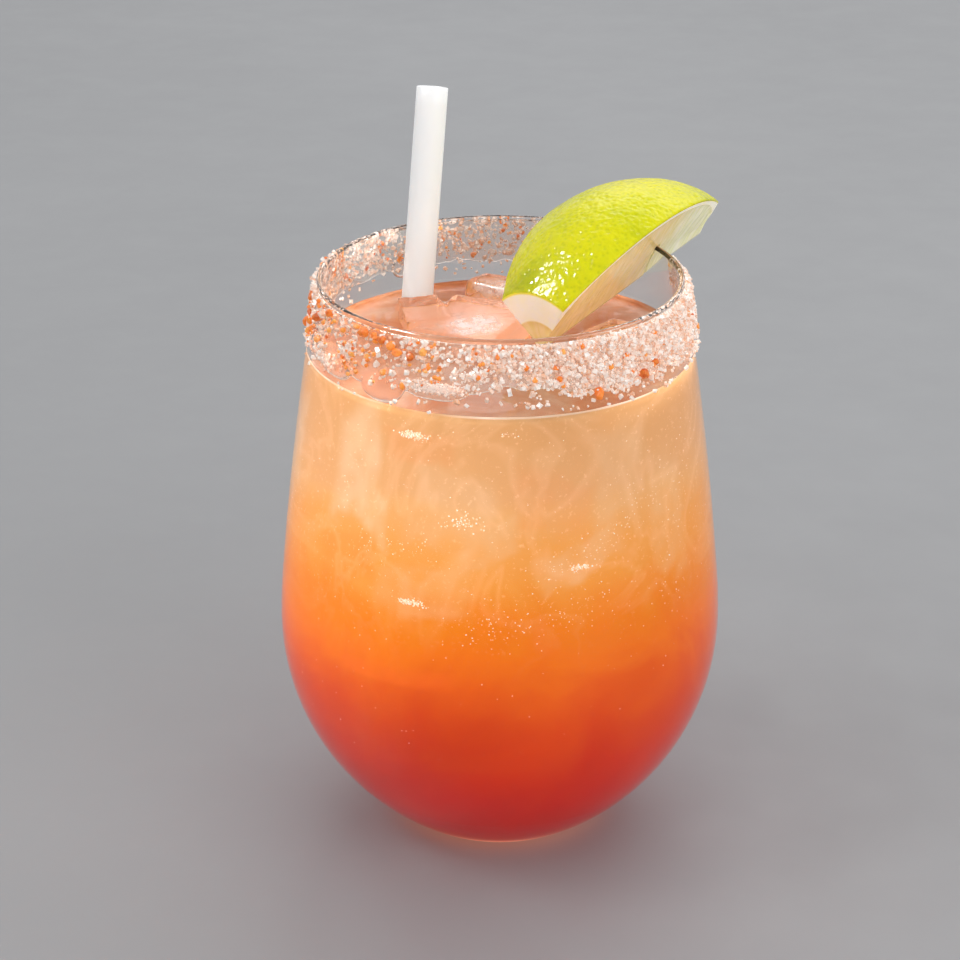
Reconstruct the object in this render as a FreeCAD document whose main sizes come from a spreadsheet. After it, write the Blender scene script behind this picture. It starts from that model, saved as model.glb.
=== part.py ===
"""Margarita cocktail in a stemless glass, in millimetres.

The origin is the centre of the glass's foot on the table and +Z is up. The drinker looks along +Y.
The glass holds the drink, three ice cubes that break its surface, a straw that leans on the rim,
a lime wedge hung over the rim by its slit, and a crust of salt round the outside of the rim.
"""

import FreeCAD
import Part
import Sketcher

import math
import os

from FreeCAD import Placement, Rotation, Vector

# Every driving size: name, value and what it is.
SIZES = (
    ("glass_height", 120.3, "top of the rim above the table"),
    ("belly_radius", 46.0, "outside of the glass where it is widest"),
    ("belly_height", 45.3, "height of the widest place"),
    ("rim_radius", 37.0, "outside of the rim"),
    ("wall_thickness", 1.2, "glass wall"),
    ("base_thickness", 4.0, "glass under the drink"),
    ("side_arc", 51.6, "radius of the outline just under the belly"),
    ("side_arc_foot", 12.45, "height where that arc ends"),
    ("base_arc", 57.3, "radius of the outline from there to the foot"),
    ("foot_corner", 4.0, "rounding between the outline and the flat foot"),
    ("shoulder_arc", 100.0, "radius of the outline just over the belly"),
    ("shoulder_top", 54.3, "height where that arc ends"),
    ("inner_corner", 20.0, "rounding between the inside wall and its floor"),
    ("drink_level", 104.5, "surface of the drink"),
    ("fit_gap", 0.2, "between the drink and what it touches"),
    ("seat_gap", 0.3, "between a piece and what carries it"),
    ("straw_radius", 3.25, "outside of the straw"),
    ("straw_wall", 0.35, "wall of the straw"),
    ("straw_length", 144.0, "whole straw"),
    ("straw_foot_radius", 25.3, "distance of the straw's foot from the glass's axis"),
    ("straw_foot_azimuth", 171.0, "direction of the straw's foot, in degrees from +X"),
    ("straw_rim_azimuth", 121.0, "direction in which the straw crosses the rim"),
    ("lime_length", 55.2, "wedge from its inner to its outer end"),
    ("lime_radius", 22.3, "core of the lime to its peel"),
    ("lime_inner_end", 13.3, "core to peel at the trimmed inner end"),
    ("lime_outer_end", 11.0, "core to peel at the trimmed outer end"),
    ("lime_angle", 75.5, "angle between the wedge's cut faces"),
    ("lime_azimuth", 36.5, "direction in which the wedge crosses the rim"),
    ("lime_heading", 51.0, "direction in which the wedge points"),
    ("lime_rise", 10.7, "how far its outer end tilts up, in degrees"),
    ("lime_roll", 5.2, "how far the peel turns towards +X, in degrees"),
    ("lime_slit_place", 34.1, "slit's distance from the wedge's inner end"),
    ("lime_slit_depth", 8.95, "slit from the core edge up"),
    ("salt_depth", 10.5, "mean height of the salt crust"),
    ("salt_thickness", 1.3, "mean thickness of the salt crust"),
    ("salt_lip", 0.9, "bare glass over the salt"),
    ("salt_gap", 0.09, "least gap between the salt crust and the glass"),
    ("ice_rounding", 2.2, "melted edges of the ice"),
    ("ice_taper", 0.9, "how much narrower each side of a cube is at its top"),
)

# Each cube: its name, and a value for each of these words, in millimetres and degrees. Its place is
# how far out it floats, as a share of the inside radius at the drink's surface.
ICE_WORDS = ("width", "depth", "height", "place", "azimuth", "over_drink", "yaw", "tilt")
ICE_CUBES = (
    ("ice_centre", 22.0, 24.0, 22.0, 0.2253, 127.9, 4.5, -26.0, 4.0),
    ("ice_back", 16.0, 11.0, 20.0, 0.7186, 90.0, 4.8, -30.0, -3.0),
    ("ice_right", 16.0, 16.0, 20.0, 0.6395, -11.3, 6.0, 51.0, -3.0),
)

# The crust's unevenness: share of its mean, waves round the rim and phase.
SALT_EDGE_WAVES = ((0.16, 2, 0.4), (0.12, 5, 2.1), (0.10, 9, 0.9), (0.07, 17, 4.0))
SALT_FACE_WAVES = ((0.14, 3, 1.0), (0.12, 11, 0.3), (0.10, 23, 2.2))
SALT_STEPS = 72
# The crust stops this many degrees short of the lime's cut faces.
SALT_CLEARS_LIME = 3.0

# Rounds of placing the straw, whose foot and lean depend on each other, and the least height that its
# direction may have in them.
STRAW_ROUNDS = 6
STRAW_LEAST_RISE = 0.5
# Two lengths closer than this are the same.
SAME = 1e-6

doc = FreeCAD.newDocument("margarita_cocktail")


def make_sheet():
    """The spreadsheet of driving sizes, one row each: name, value and note."""
    made = doc.addObject("Spreadsheet::Sheet", "Sizes")
    for row, (name, value, note) in enumerate(SIZES, 1):
        made.set(f"A{row}", name)
        made.set(f"B{row}", str(value))
        made.setAlias(f"B{row}", name)
        made.set(f"C{row}", note)
    for index, (name, *values) in enumerate(ICE_CUBES, len(SIZES) + 1):
        made.set(f"A{index}", name)
        for column, word, value in zip("BCDEFGHI", ICE_WORDS, values):
            made.set(f"{column}{index}", str(value))
            made.setAlias(f"{column}{index}", f"{name}_{word}")
    doc.recompute()
    return made


sheet = make_sheet()


def size(name):
    """A driving size as a number."""
    return float(sheet.get(name))


def polar(radius, degrees, height=0.0):
    angle = math.radians(degrees)
    return Vector(radius * math.cos(angle), radius * math.sin(angle), height)


# ---------------------------------------------------------------- the glass's outline, as numbers


class Round:
    """An arc of the outline in the plane of radius and height, from angle first to angle last."""

    def __init__(self, centre, radius, first, last):
        self.centre = centre
        self.radius = radius
        self.first = first
        self.last = last

    def at(self, angle):
        return self.centre + Vector(math.cos(angle), math.sin(angle), 0) * self.radius

    def radius_at(self, height):
        rise = height - self.centre.y
        return self.centre.x + math.sqrt(self.radius**2 - rise**2)

    def angle_at(self, height):
        return math.asin((height - self.centre.y) / self.radius)

    def inside(self, offset):
        return Round(self.centre, self.radius - offset, self.first, self.last)


def wall_arcs():
    """The outside of the glass over its foot: base, side, shoulder and wall."""
    belly = Vector(size("belly_radius"), size("belly_height"), 0)
    side_radius = size("side_arc")
    side = Round(belly - Vector(side_radius, 0, 0), side_radius, 0, 0)
    side.first = side.angle_at(size("side_arc_foot"))
    inward = Vector(math.cos(side.first), math.sin(side.first), 0)
    base_radius = size("base_arc")
    base = Round(side.at(side.first) - inward * base_radius, base_radius, 0, side.first)
    shoulder_radius = size("shoulder_arc")
    shoulder = Round(belly - Vector(shoulder_radius, 0, 0), shoulder_radius, 0, 0)
    shoulder.last = shoulder.angle_at(size("shoulder_top"))
    # The wall leaves the shoulder smoothly and meets the round lip smoothly.
    lip = size("wall_thickness") / 2
    lip_centre = Vector(size("rim_radius") - lip, size("glass_height") - lip, 0)
    outward = Vector(math.cos(shoulder.last), math.sin(shoulder.last), 0)
    start = shoulder.at(shoulder.last)
    apart = start - lip_centre
    radius = (apart.dot(apart) - lip**2) / (2 * (apart.dot(outward) - lip))
    wall = Round(start - outward * radius, radius, shoulder.last, 0)
    to_lip = lip_centre - wall.centre
    wall.last = math.atan2(to_lip.y, to_lip.x)
    return base, side, shoulder, wall


def corner_arc(side, floor, radius):
    """The rounding between a flat floor and the arc over it."""
    height = floor + radius
    reach = math.sqrt((side.radius - radius) ** 2 - (height - side.centre.y) ** 2)
    centre = Vector(side.centre.x + reach, height, 0)
    to_corner = centre - side.centre
    return Round(centre, radius, -math.pi / 2, math.atan2(to_corner.y, to_corner.x))


BASE, SIDE, SHOULDER, WALL = wall_arcs()
INNER_SIDE = SIDE.inside(size("wall_thickness"))
INNER_CORNER = corner_arc(INNER_SIDE, size("base_thickness"), size("inner_corner"))


def inner_floor_height(radius):
    """Height of the inside of the bowl at a distance from the axis."""
    if radius <= INNER_CORNER.centre.x:
        return size("base_thickness")
    joint = INNER_CORNER.at(INNER_CORNER.last)
    arc = INNER_CORNER if radius <= joint.x else INNER_SIDE
    return arc.centre.y - math.sqrt(arc.radius**2 - (radius - arc.centre.x) ** 2)


# ---------------------------------------------------------------- helpers for bodies and sketches


def new_body(name):
    body = doc.addObject("PartDesign::Body", name)
    body.Label = name
    return body


def new_sketch(body, name, role="XZ_Plane"):
    """A sketch on one of its own body's planes."""
    sketch = body.newObject("Sketcher::SketchObject", name)
    plane = next(item for item in body.Origin.OriginFeatures if item.Role == role)
    sketch.AttachmentSupport = [(plane, "")]
    sketch.MapMode = "FlatFace"
    return sketch


def add_arc(sketch, arc, first=None, last=None):
    circle = Part.Circle(arc.centre, Vector(0, 0, 1), arc.radius)
    start = arc.first if first is None else first
    end = arc.last if last is None else last
    return sketch.addGeometry(Part.ArcOfCircle(circle, start, end))


def add_line(sketch, start, end):
    return sketch.addGeometry(Part.LineSegment(start, end))


def bind(sketch, name, expression, *constraint):
    """Adds a dimension called name, which starts at its present value and follows an expression."""
    index = sketch.addConstraint(Sketcher.Constraint(*constraint))
    sketch.renameConstraint(index, name)
    sketch.setExpression(f"Constraints.{name}", expression)
    return index


def hold(sketch, *constraint):
    return sketch.addConstraint(Sketcher.Constraint(*constraint))


def spin(body, sketch, name, axis="V_Axis", degrees="360", both_ways=False):
    """A revolution of the sketch about one of its axes."""
    turned = body.newObject("PartDesign::Revolution", name)
    turned.Profile = sketch
    turned.ReferenceAxis = (sketch, [axis])
    turned.Midplane = both_ways
    turned.setExpression("Angle", degrees)
    sketch.Visibility = False
    return turned


ORIGIN = (-1, 1)
START, END, CENTRE = 1, 2, 3


def bowl_side(sketch, offset, corner, floor, tag):
    """The corner, side and shoulder of the inside of the bowl, offset inwards from the outside.

    offset, corner and floor are expressions of the sheet: how far in the surface lies, the
    rounding of its corner and the height of its floor. Returns the geometry numbers.
    """
    inward = sheet_value(offset)
    side = SIDE.inside(inward)
    low = corner_arc(side, sheet_value(floor), sheet_value(corner))
    shoulder = SHOULDER.inside(inward)
    bottom = Vector(0, sheet_value(floor), 0)
    floor_line = add_line(sketch, bottom, low.at(low.first))
    corner_id = add_arc(sketch, low)
    side_id = add_arc(sketch, side, first=low.last)
    shoulder_id = add_arc(sketch, shoulder)
    hold(sketch, "Tangent", floor_line, END, corner_id, START)
    hold(sketch, "Tangent", corner_id, END, side_id, START)
    hold(sketch, "Tangent", side_id, END, shoulder_id, START)
    hold(sketch, "PointOnObject", floor_line, START, -2)
    hold(sketch, "Horizontal", floor_line)
    hold(sketch, "Horizontal", side_id, CENTRE, side_id, END)
    bind(sketch, f"{tag}_floor", floor, "DistanceY", *ORIGIN, floor_line, START, bottom.y)
    bind(sketch, f"{tag}_corner", corner, "Radius", corner_id, low.radius)
    bind(sketch, f"{tag}_side", f"Sizes.side_arc - ({offset})", "Radius", side_id, side.radius)
    radius = f"Sizes.shoulder_arc - ({offset})"
    bind(sketch, f"{tag}_shoulder", radius, "Radius", shoulder_id, shoulder.radius)
    belly = side.at(0)
    reach = f"Sizes.belly_radius - ({offset})"
    bind(sketch, f"{tag}_belly", reach, "DistanceX", *ORIGIN, side_id, END, belly.x)
    height = "Sizes.belly_height"
    bind(sketch, f"{tag}_belly_height", height, "DistanceY", *ORIGIN, side_id, END, belly.y)
    return floor_line, shoulder_id


def sheet_value(expression):
    """The value of an expression that adds and takes away sizes of the sheet."""
    total = 0.0
    for word in expression.replace("-", "+ -").split("+"):
        word = word.strip()
        sign = -1.0 if word.startswith("-") else 1.0
        word = word.lstrip("- ")
        if word:
            total += sign * size(word.removeprefix("Sizes."))
    return total


# ---------------------------------------------------------------- the glass


def make_glass():
    """A thin bowl of revolution with a thick base, a flat foot and a rounded lip."""
    body = new_body("glass")
    sketch = new_sketch(body, "glass_outline")
    wall_size = "Sizes.wall_thickness"
    lip = size("wall_thickness") / 2
    foot = corner_arc(BASE, 0.0, size("foot_corner"))

    foot_line = add_line(sketch, Vector(0, 0, 0), foot.at(foot.first))
    foot_id = add_arc(sketch, foot)
    base_id = add_arc(sketch, BASE, first=foot.last)
    side_id = add_arc(sketch, SIDE)
    shoulder_id = add_arc(sketch, SHOULDER)
    wall_id = add_arc(sketch, WALL)
    lip_centre = WALL.inside(lip).at(WALL.last)
    lip_id = add_arc(sketch, Round(lip_centre, lip, WALL.last, WALL.last + math.pi))
    chain = (foot_line, foot_id, base_id, side_id, shoulder_id, wall_id, lip_id)
    for lower, upper in zip(chain, chain[1:]):
        hold(sketch, "Tangent", lower, END, upper, START)
    hold(sketch, "Coincident", foot_line, START, *ORIGIN)
    hold(sketch, "Horizontal", foot_line)
    hold(sketch, "Horizontal", side_id, CENTRE, side_id, END)
    for name, arc_id, arc in (
        ("foot_corner", foot_id, foot),
        ("base_arc", base_id, BASE),
        ("side_arc", side_id, SIDE),
        ("shoulder_arc", shoulder_id, SHOULDER),
    ):
        bind(sketch, name, f"Sizes.{name}", "Radius", arc_id, arc.radius)
    belly = SIDE.at(0)
    bind(sketch, "belly_radius", "Sizes.belly_radius", "DistanceX", *ORIGIN, side_id, END, belly.x)
    bind(sketch, "belly_height", "Sizes.belly_height", "DistanceY", *ORIGIN, side_id, END, belly.y)
    low = SIDE.at(SIDE.first).y
    bind(sketch, "side_arc_foot", "Sizes.side_arc_foot", "DistanceY", *ORIGIN, side_id, START, low)
    top = SHOULDER.at(SHOULDER.last).y
    bind(sketch, "shoulder_top", "Sizes.shoulder_top", "DistanceY", *ORIGIN, shoulder_id, END, top)
    bind(sketch, "lip", f"{wall_size} / 2", "Radius", lip_id, lip)
    across = f"Sizes.rim_radius - {wall_size} / 2"
    bind(sketch, "lip_radius", across, "DistanceX", *ORIGIN, lip_id, CENTRE, lip_centre.x)
    height = f"Sizes.glass_height - {wall_size} / 2"
    bind(sketch, "lip_height", height, "DistanceY", *ORIGIN, lip_id, CENTRE, lip_centre.y)

    corner = "Sizes.inner_corner"
    floor = "Sizes.base_thickness"
    floor_line, inner_shoulder = bowl_side(sketch, wall_size, corner, floor, "inner")
    inner_wall = WALL.inside(size("wall_thickness"))
    inner_id = add_arc(sketch, inner_wall)
    hold(sketch, "Tangent", inner_shoulder, END, inner_id, START)
    hold(sketch, "Tangent", inner_id, END, lip_id, END)
    top = SHOULDER.inside(size("wall_thickness")).at(SHOULDER.last).y
    bind(sketch, "inner_top", "Sizes.shoulder_top", "DistanceY", *ORIGIN, inner_shoulder, END, top)
    axis_line = add_line(sketch, Vector(0, 0, 0), Vector(0, size("base_thickness"), 0))
    hold(sketch, "Coincident", axis_line, START, *ORIGIN)
    hold(sketch, "Coincident", axis_line, END, floor_line, START)
    doc.recompute()
    spin(body, sketch, "glass_turned")
    return body


# ---------------------------------------------------------------- the drink


def make_whole_drink():
    """The drink as if nothing stood in it: the bowl filled to the level."""
    body = new_body("drink_whole")
    sketch = new_sketch(body, "drink_outline")
    gap = "Sizes.wall_thickness + Sizes.fit_gap"
    inward = sheet_value(gap)
    corner = "Sizes.inner_corner - Sizes.fit_gap"
    floor = "Sizes.base_thickness + Sizes.fit_gap"
    floor_line, shoulder_id = bowl_side(sketch, gap, corner, floor, "drink")
    wall = WALL.inside(inward)
    level = size("drink_level")
    wall_id = add_arc(sketch, wall, last=wall.angle_at(level))
    hold(sketch, "Tangent", shoulder_id, END, wall_id, START)
    top = SHOULDER.inside(inward).at(SHOULDER.last).y
    bind(sketch, "drink_top", "Sizes.shoulder_top", "DistanceY", *ORIGIN, shoulder_id, END, top)
    rim = f"Sizes.rim_radius - ({gap})"
    lip_height = size("glass_height")
    rim_point = sketch.addGeometry(Part.Point(wall.at(wall.angle_at(lip_height))))
    sketch.setConstruction(rim_point, True)
    hold(sketch, "PointOnObject", rim_point, START, wall_id)
    reach = size("rim_radius") - inward
    bind(sketch, "drink_rim", rim, "DistanceX", *ORIGIN, rim_point, START, reach)
    height = "Sizes.glass_height"
    bind(sketch, "drink_rim_height", height, "DistanceY", *ORIGIN, rim_point, START, lip_height)
    axis_line = add_line(sketch, Vector(0, level, 0), Vector(0, sheet_value(floor), 0))
    level_line = add_line(sketch, wall.at(wall.angle_at(level)), Vector(0, level, 0))
    hold(sketch, "Coincident", wall_id, END, level_line, START)
    hold(sketch, "Coincident", level_line, END, axis_line, START)
    hold(sketch, "Coincident", axis_line, END, floor_line, START)
    hold(sketch, "Horizontal", level_line)
    hold(sketch, "Vertical", axis_line)
    bind(sketch, "level", "Sizes.drink_level", "DistanceY", *ORIGIN, level_line, END, level)
    doc.recompute()
    spin(body, sketch, "drink_turned")
    return body


def cut(name, base, tools):
    """base less tools, as a sub-part called name."""
    tool = tools[0]
    if len(tools) > 1:
        tool = doc.addObject("Part::MultiFuse", f"{name}_hollows")
        tool.Shapes = tools
    piece = doc.addObject("Part::Cut", name)
    piece.Base = base
    piece.Tool = tool
    piece.Label = name
    return piece


# ---------------------------------------------------------------- the straw


def straw_axis():
    """The foot of the straw's axis and its direction.

    The straw leans on the inside of the lip and its foot stands on the inside of the bowl.
    """
    lip = size("wall_thickness") / 2
    lip_centre = size("rim_radius") - lip
    lip_height = size("glass_height") - lip
    radius = size("straw_radius")
    gap = size("seat_gap")
    level_foot = polar(size("straw_foot_radius"), size("straw_foot_azimuth"))
    foot = level_foot + Vector(0, 0, size("base_thickness") + radius)
    direction = Vector(0, 0, 1)
    for _ in range(STRAW_ROUNDS):
        lean = max(direction.z, STRAW_LEAST_RISE)
        reach = lip_centre - (radius + lip + gap) / lean
        direction = polar(reach, size("straw_rim_azimuth"), lip_height) - foot
        direction.normalize()
        foot = level_foot + Vector(0, 0, foot_height(level_foot, direction, radius) + gap)
    return foot, direction


def foot_height(place, direction, radius):
    """How high the centre of the straw's end must be for its whole edge to clear the bowl."""
    turn = Rotation(Vector(0, 0, 1), direction)
    needed = []
    for degrees in range(0, 360, 10):
        edge = turn.multVec(polar(radius, degrees))
        needed.append(inner_floor_height(math.hypot(place.x + edge.x, place.y + edge.y)) - edge.z)
    return max(needed)


def make_straw():
    """A plain straight tube, and the hollow that it makes in the drink."""
    foot, direction = straw_axis()
    turn = Rotation(Vector(0, 0, 1), direction)
    body = new_body("straw")
    sketch = new_sketch(body, "straw_ring", "XY_Plane")
    for name, expression in (
        ("outside", "Sizes.straw_radius"),
        ("bore", "Sizes.straw_radius - Sizes.straw_wall"),
    ):
        radius = sheet_value(expression)
        ring = sketch.addGeometry(Part.Circle(Vector(0, 0, 0), Vector(0, 0, 1), radius))
        hold(sketch, "Coincident", ring, CENTRE, *ORIGIN)
        bind(sketch, name, expression, "Radius", ring, radius)
    doc.recompute()
    tube = body.newObject("PartDesign::Pad", "straw_tube")
    tube.Profile = sketch
    tube.setExpression("Length", "Sizes.straw_length")
    body.Placement = Placement(foot, turn)

    hollow = doc.addObject("Part::Cylinder", "straw_hollow")
    hollow.setExpression("Radius", "Sizes.straw_radius + Sizes.fit_gap")
    hollow.setExpression("Height", "Sizes.straw_length")
    hollow.Placement = Placement(foot - direction * size("fit_gap"), turn)
    return body, hollow


# ---------------------------------------------------------------- the ice


def ice_block(name, cube, grow):
    """A cube with melted edges, narrower towards its top; grow makes it larger all round."""
    body = new_body(name)
    block = body.newObject("PartDesign::AdditiveWedge", f"{name}_block")
    width, depth = f"Sizes.{cube}_width / 2 + {grow}", f"Sizes.{cube}_depth / 2 + {grow}"
    top = f"Sizes.{cube}_height / 2 + {grow}"
    # The wedge narrows along its own Y, which stands upright once the body is placed.
    for prop, expression in (
        ("Xmin", f"-({width})"),
        ("Xmax", width),
        ("Zmin", f"-({depth})"),
        ("Zmax", depth),
        ("X2min", f"-({width}) + Sizes.ice_taper"),
        ("X2max", f"{width} - Sizes.ice_taper"),
        ("Z2min", f"-({depth}) + Sizes.ice_taper"),
        ("Z2max", f"{depth} - Sizes.ice_taper"),
        ("Ymin", f"-({top})"),
        ("Ymax", top),
    ):
        block.setExpression(prop, expression)
    doc.recompute()
    melted = body.newObject("PartDesign::Fillet", f"{name}_melted")
    melted.Base = (block, [f"Edge{number}" for number in range(1, 13)])
    melted.setExpression("Radius", f"Sizes.ice_rounding + {grow}")
    yaw = Rotation(Vector(0, 0, 1), size(f"{cube}_yaw"))
    tilt = Rotation(Vector(1, 0, 0), size(f"{cube}_tilt"))
    upright = Rotation(Vector(1, 0, 0), 90)
    centre_height = size("drink_level") + size(f"{cube}_over_drink") - size(f"{cube}_height") / 2
    surface_radius = WALL.inside(size("wall_thickness")).radius_at(size("drink_level"))
    centre = polar(surface_radius * size(f"{cube}_place"), size(f"{cube}_azimuth"), centre_height)
    body.Placement = Placement(centre, yaw.multiply(tilt).multiply(upright))
    return body


# ---------------------------------------------------------------- the lime wedge


def peel_centre():
    """Where the peel's arc has its centre along the wedge, and its radius."""
    length = size("lime_length")
    inner = size("lime_radius") - size("lime_inner_end")
    outer = size("lime_radius") - size("lime_outer_end")
    # The arc passes both ends of the peel and its top stands at the lime's radius.
    spread = outer - inner
    if abs(spread) < SAME:
        along = length / 2
    else:
        half = inner * length
        rest = inner**2 * outer - inner * length**2 - inner * outer**2
        along = (-half + math.sqrt(half**2 - spread * rest)) / spread
    return along, (along**2 + inner**2) / (2 * inner)


def lime_placement():
    """Puts the wedge's slit over the rim, with the top of the slit just over the lip."""
    rise = size("lime_rise")
    turn = Rotation(Vector(0, 0, 1), size("lime_heading"))
    turn = turn.multiply(Rotation(Vector(0, 1, 0), -rise))
    turn = turn.multiply(Rotation(Vector(1, 0, 0), -size("lime_roll")))
    middle = size("rim_radius") - size("wall_thickness") / 2
    core_height = size("glass_height") + size("seat_gap") - size("lime_slit_depth")
    slit = polar(middle, size("lime_azimuth"), core_height)
    start = slit - turn.multVec(Vector(size("lime_slit_place"), 0, 0))
    return Placement(start, turn)


def make_whole_lime():
    """A wedge of a lime cut lengthwise, with both its ends trimmed flat, without its slit."""
    body = new_body("lime_whole")
    sketch = new_sketch(body, "lime_outline")
    length = size("lime_length")
    inner, outer = size("lime_inner_end"), size("lime_outer_end")
    along, radius = peel_centre()
    centre = Vector(along, size("lime_radius") - radius, 0)
    first = math.atan2(outer - centre.y, length - centre.x)
    last = math.atan2(inner - centre.y, -centre.x)
    core = add_line(sketch, Vector(0, 0, 0), Vector(length, 0, 0))
    outer_end = add_line(sketch, Vector(length, 0, 0), Vector(length, outer, 0))
    peel = add_arc(sketch, Round(centre, radius, first, last))
    inner_end = add_line(sketch, Vector(0, inner, 0), Vector(0, 0, 0))
    top = size("lime_radius")
    crown = sketch.addGeometry(Part.Point(Vector(along, top, 0)))
    sketch.setConstruction(crown, True)
    hold(sketch, "Coincident", core, START, *ORIGIN)
    hold(sketch, "Coincident", core, END, outer_end, START)
    hold(sketch, "Coincident", outer_end, END, peel, START)
    hold(sketch, "Coincident", peel, END, inner_end, START)
    hold(sketch, "Coincident", inner_end, END, core, START)
    hold(sketch, "Horizontal", core)
    hold(sketch, "Vertical", outer_end)
    hold(sketch, "Vertical", inner_end)
    hold(sketch, "PointOnObject", crown, START, peel)
    hold(sketch, "Vertical", peel, CENTRE, crown, START)
    bind(sketch, "length", "Sizes.lime_length", "DistanceX", core, START, core, END, length)
    bind(sketch, "outer", "Sizes.lime_outer_end", "DistanceY", outer_end, START, outer_end, END, outer)
    bind(sketch, "inner", "Sizes.lime_inner_end", "DistanceY", inner_end, END, inner_end, START, inner)
    bind(sketch, "crown", "Sizes.lime_radius", "DistanceY", *ORIGIN, crown, START, top)
    doc.recompute()
    spin(body, sketch, "lime_turned", "H_Axis", "Sizes.lime_angle", both_ways=True)
    body.Placement = lime_placement()
    return body


def make_rim_hollow():
    """The room that the rim takes in the wedge: the wall and lip, larger all round."""
    body = new_body("rim_hollow")
    sketch = new_sketch(body, "rim_section")
    gap = size("seat_gap")
    inner = WALL.inside(size("wall_thickness") + gap)
    outer = WALL.inside(-gap)
    low, high = size("drink_level"), size("glass_height") + gap
    corners = [
        Vector(inner.radius_at(low), low, 0),
        Vector(outer.radius_at(low), low, 0),
        Vector(outer.radius_at(high), high, 0),
        Vector(inner.radius_at(high), high, 0),
    ]
    lines = [add_line(sketch, a, b) for a, b in zip(corners, corners[1:] + corners[:1])]
    bottom, outside, top, inside = lines
    for line, following in zip(lines, lines[1:] + lines[:1]):
        hold(sketch, "Coincident", line, END, following, START)
    hold(sketch, "Horizontal", bottom)
    hold(sketch, "Horizontal", top)
    bind(sketch, "low", "Sizes.drink_level", "DistanceY", *ORIGIN, bottom, START, low)
    height = "Sizes.glass_height + Sizes.seat_gap"
    bind(sketch, "high", height, "DistanceY", *ORIGIN, top, START, high)
    for name, line, end, corner in (
        ("inner_low", bottom, START, corners[0]),
        ("outer_low", bottom, END, corners[1]),
        ("outer_high", top, START, corners[2]),
        ("inner_high", top, END, corners[3]),
    ):
        # The wall's slope comes from the glass's outline, so these follow it as numbers.
        index = hold(sketch, "DistanceX", *ORIGIN, line, end, corner.x)
        sketch.renameConstraint(index, name)
    doc.recompute()
    spin(body, sketch, "rim_hollow_turned")
    return body


# ---------------------------------------------------------------- the salt crust


def waves(mean, pattern, angle):
    """mean with the pattern's waves added at an angle round the rim."""
    return mean * (1 + sum(share * math.sin(count * angle + phase) for share, count, phase in pattern))


def lime_half_width():
    """How far to each side of its heading the wedge covers the outside of the rim, in degrees."""
    half = math.radians(size("lime_angle") / 2)
    reach = size("lime_slit_depth") * math.tan(half) + size("salt_thickness")
    return math.degrees(reach / size("rim_radius")) + SALT_CLEARS_LIME


def crust_gap(top, bottom):
    """The gap at the edges of the crust's flat inner faces, between which the glass bulges out."""
    upward = (top - bottom) ** 2 / (8 * WALL.radius)
    around = WALL.radius_at(bottom) * (1 - math.cos(math.pi / SALT_STEPS))
    return size("salt_gap") + upward + around


def crust_section(angle):
    """The crust's outline at an angle: up the outside of the glass and down the crust's face."""
    top = size("glass_height") - size("salt_lip")
    bottom = top - waves(size("salt_depth"), SALT_EDGE_WAVES, angle)
    thick = waves(size("salt_thickness"), SALT_FACE_WAVES, angle)
    gap = crust_gap(top, bottom)
    places = ((bottom, 0.0), (top, 0.0), (top - thick / 2, 1.0), (bottom + thick, 1.0))
    around = Vector(math.cos(angle), math.sin(angle), 0)
    points = []
    for height, share in places:
        radius = WALL.radius_at(height) + gap + share * thick
        points.append(around * radius + Vector(0, 0, height))
    return points


def triangle(a, b, c):
    return Part.Face(Part.makePolygon([a, b, c, a]))


def make_salt_rim():
    """One uneven crust round the outside of the rim, open where the lime hangs."""
    half = lime_half_width()
    first = math.radians(size("lime_azimuth") + half)
    last = math.radians(size("lime_azimuth") - half + 360)
    sections = []
    for step in range(SALT_STEPS + 1):
        sections.append(crust_section(first + (last - first) * step / SALT_STEPS))
    faces = []
    for here, there in zip(sections, sections[1:]):
        for low, high in zip(range(4), (1, 2, 3, 0)):
            faces.append(triangle(here[low], here[high], there[high]))
            faces.append(triangle(here[low], there[high], there[low]))
    for end in (sections[0], sections[-1]):
        faces.append(triangle(end[0], end[1], end[2]))
        faces.append(triangle(end[0], end[2], end[3]))
    shell = Part.Shell(faces)
    solid = Part.Solid(shell)
    if solid.Volume < 0:
        solid.reverse()
    crust = doc.addObject("Part::Feature", "salt_rim")
    crust.Label = "salt_rim"
    crust.Shape = solid
    crust.Placement = Placement()
    return crust


# ---------------------------------------------------------------- the whole


def build():
    """Every sub-part, in the order in which the drink is made."""
    glass = make_glass()
    straw, straw_hollow = make_straw()
    ice, ice_hollows = [], []
    for name, *_ in ICE_CUBES:
        ice.append(ice_block(name, name, "0"))
        ice_hollows.append(ice_block(f"{name}_hollow", name, "Sizes.fit_gap"))
    drink = cut("drink", make_whole_drink(), [straw_hollow, *ice_hollows])
    lime = cut("lime_wedge", make_whole_lime(), [make_rim_hollow()])
    salt = make_salt_rim()
    return [glass, drink, straw, lime, salt, *ice]


def check(pieces):
    """Stops with a message if any object failed or any sub-part isn't one sound solid."""
    for item in doc.Objects:
        if {"Invalid", "Error"} & set(item.State):
            raise RuntimeError(f"{item.Name} failed: {item.State}")
    for piece in pieces:
        shape = piece.Shape
        if shape.isNull() or not shape.isValid():
            raise RuntimeError(f"{piece.Label} has no sound shape")
        if len(shape.Solids) != 1:
            raise RuntimeError(f"{piece.Label} has {len(shape.Solids)} solids")


sub_parts = build()
doc.recompute()
check(sub_parts)
os.makedirs("parts", exist_ok=True)
for part in sub_parts:
    part.Shape.exportStep(os.path.join("parts", f"{part.Label}.step"))
    box = part.Shape.BoundBox
    print(f"{part.Label}: {part.Shape.Volume / 1000:.2f} cm3, z {box.ZMin:.2f} to {box.ZMax:.2f}")
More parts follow.
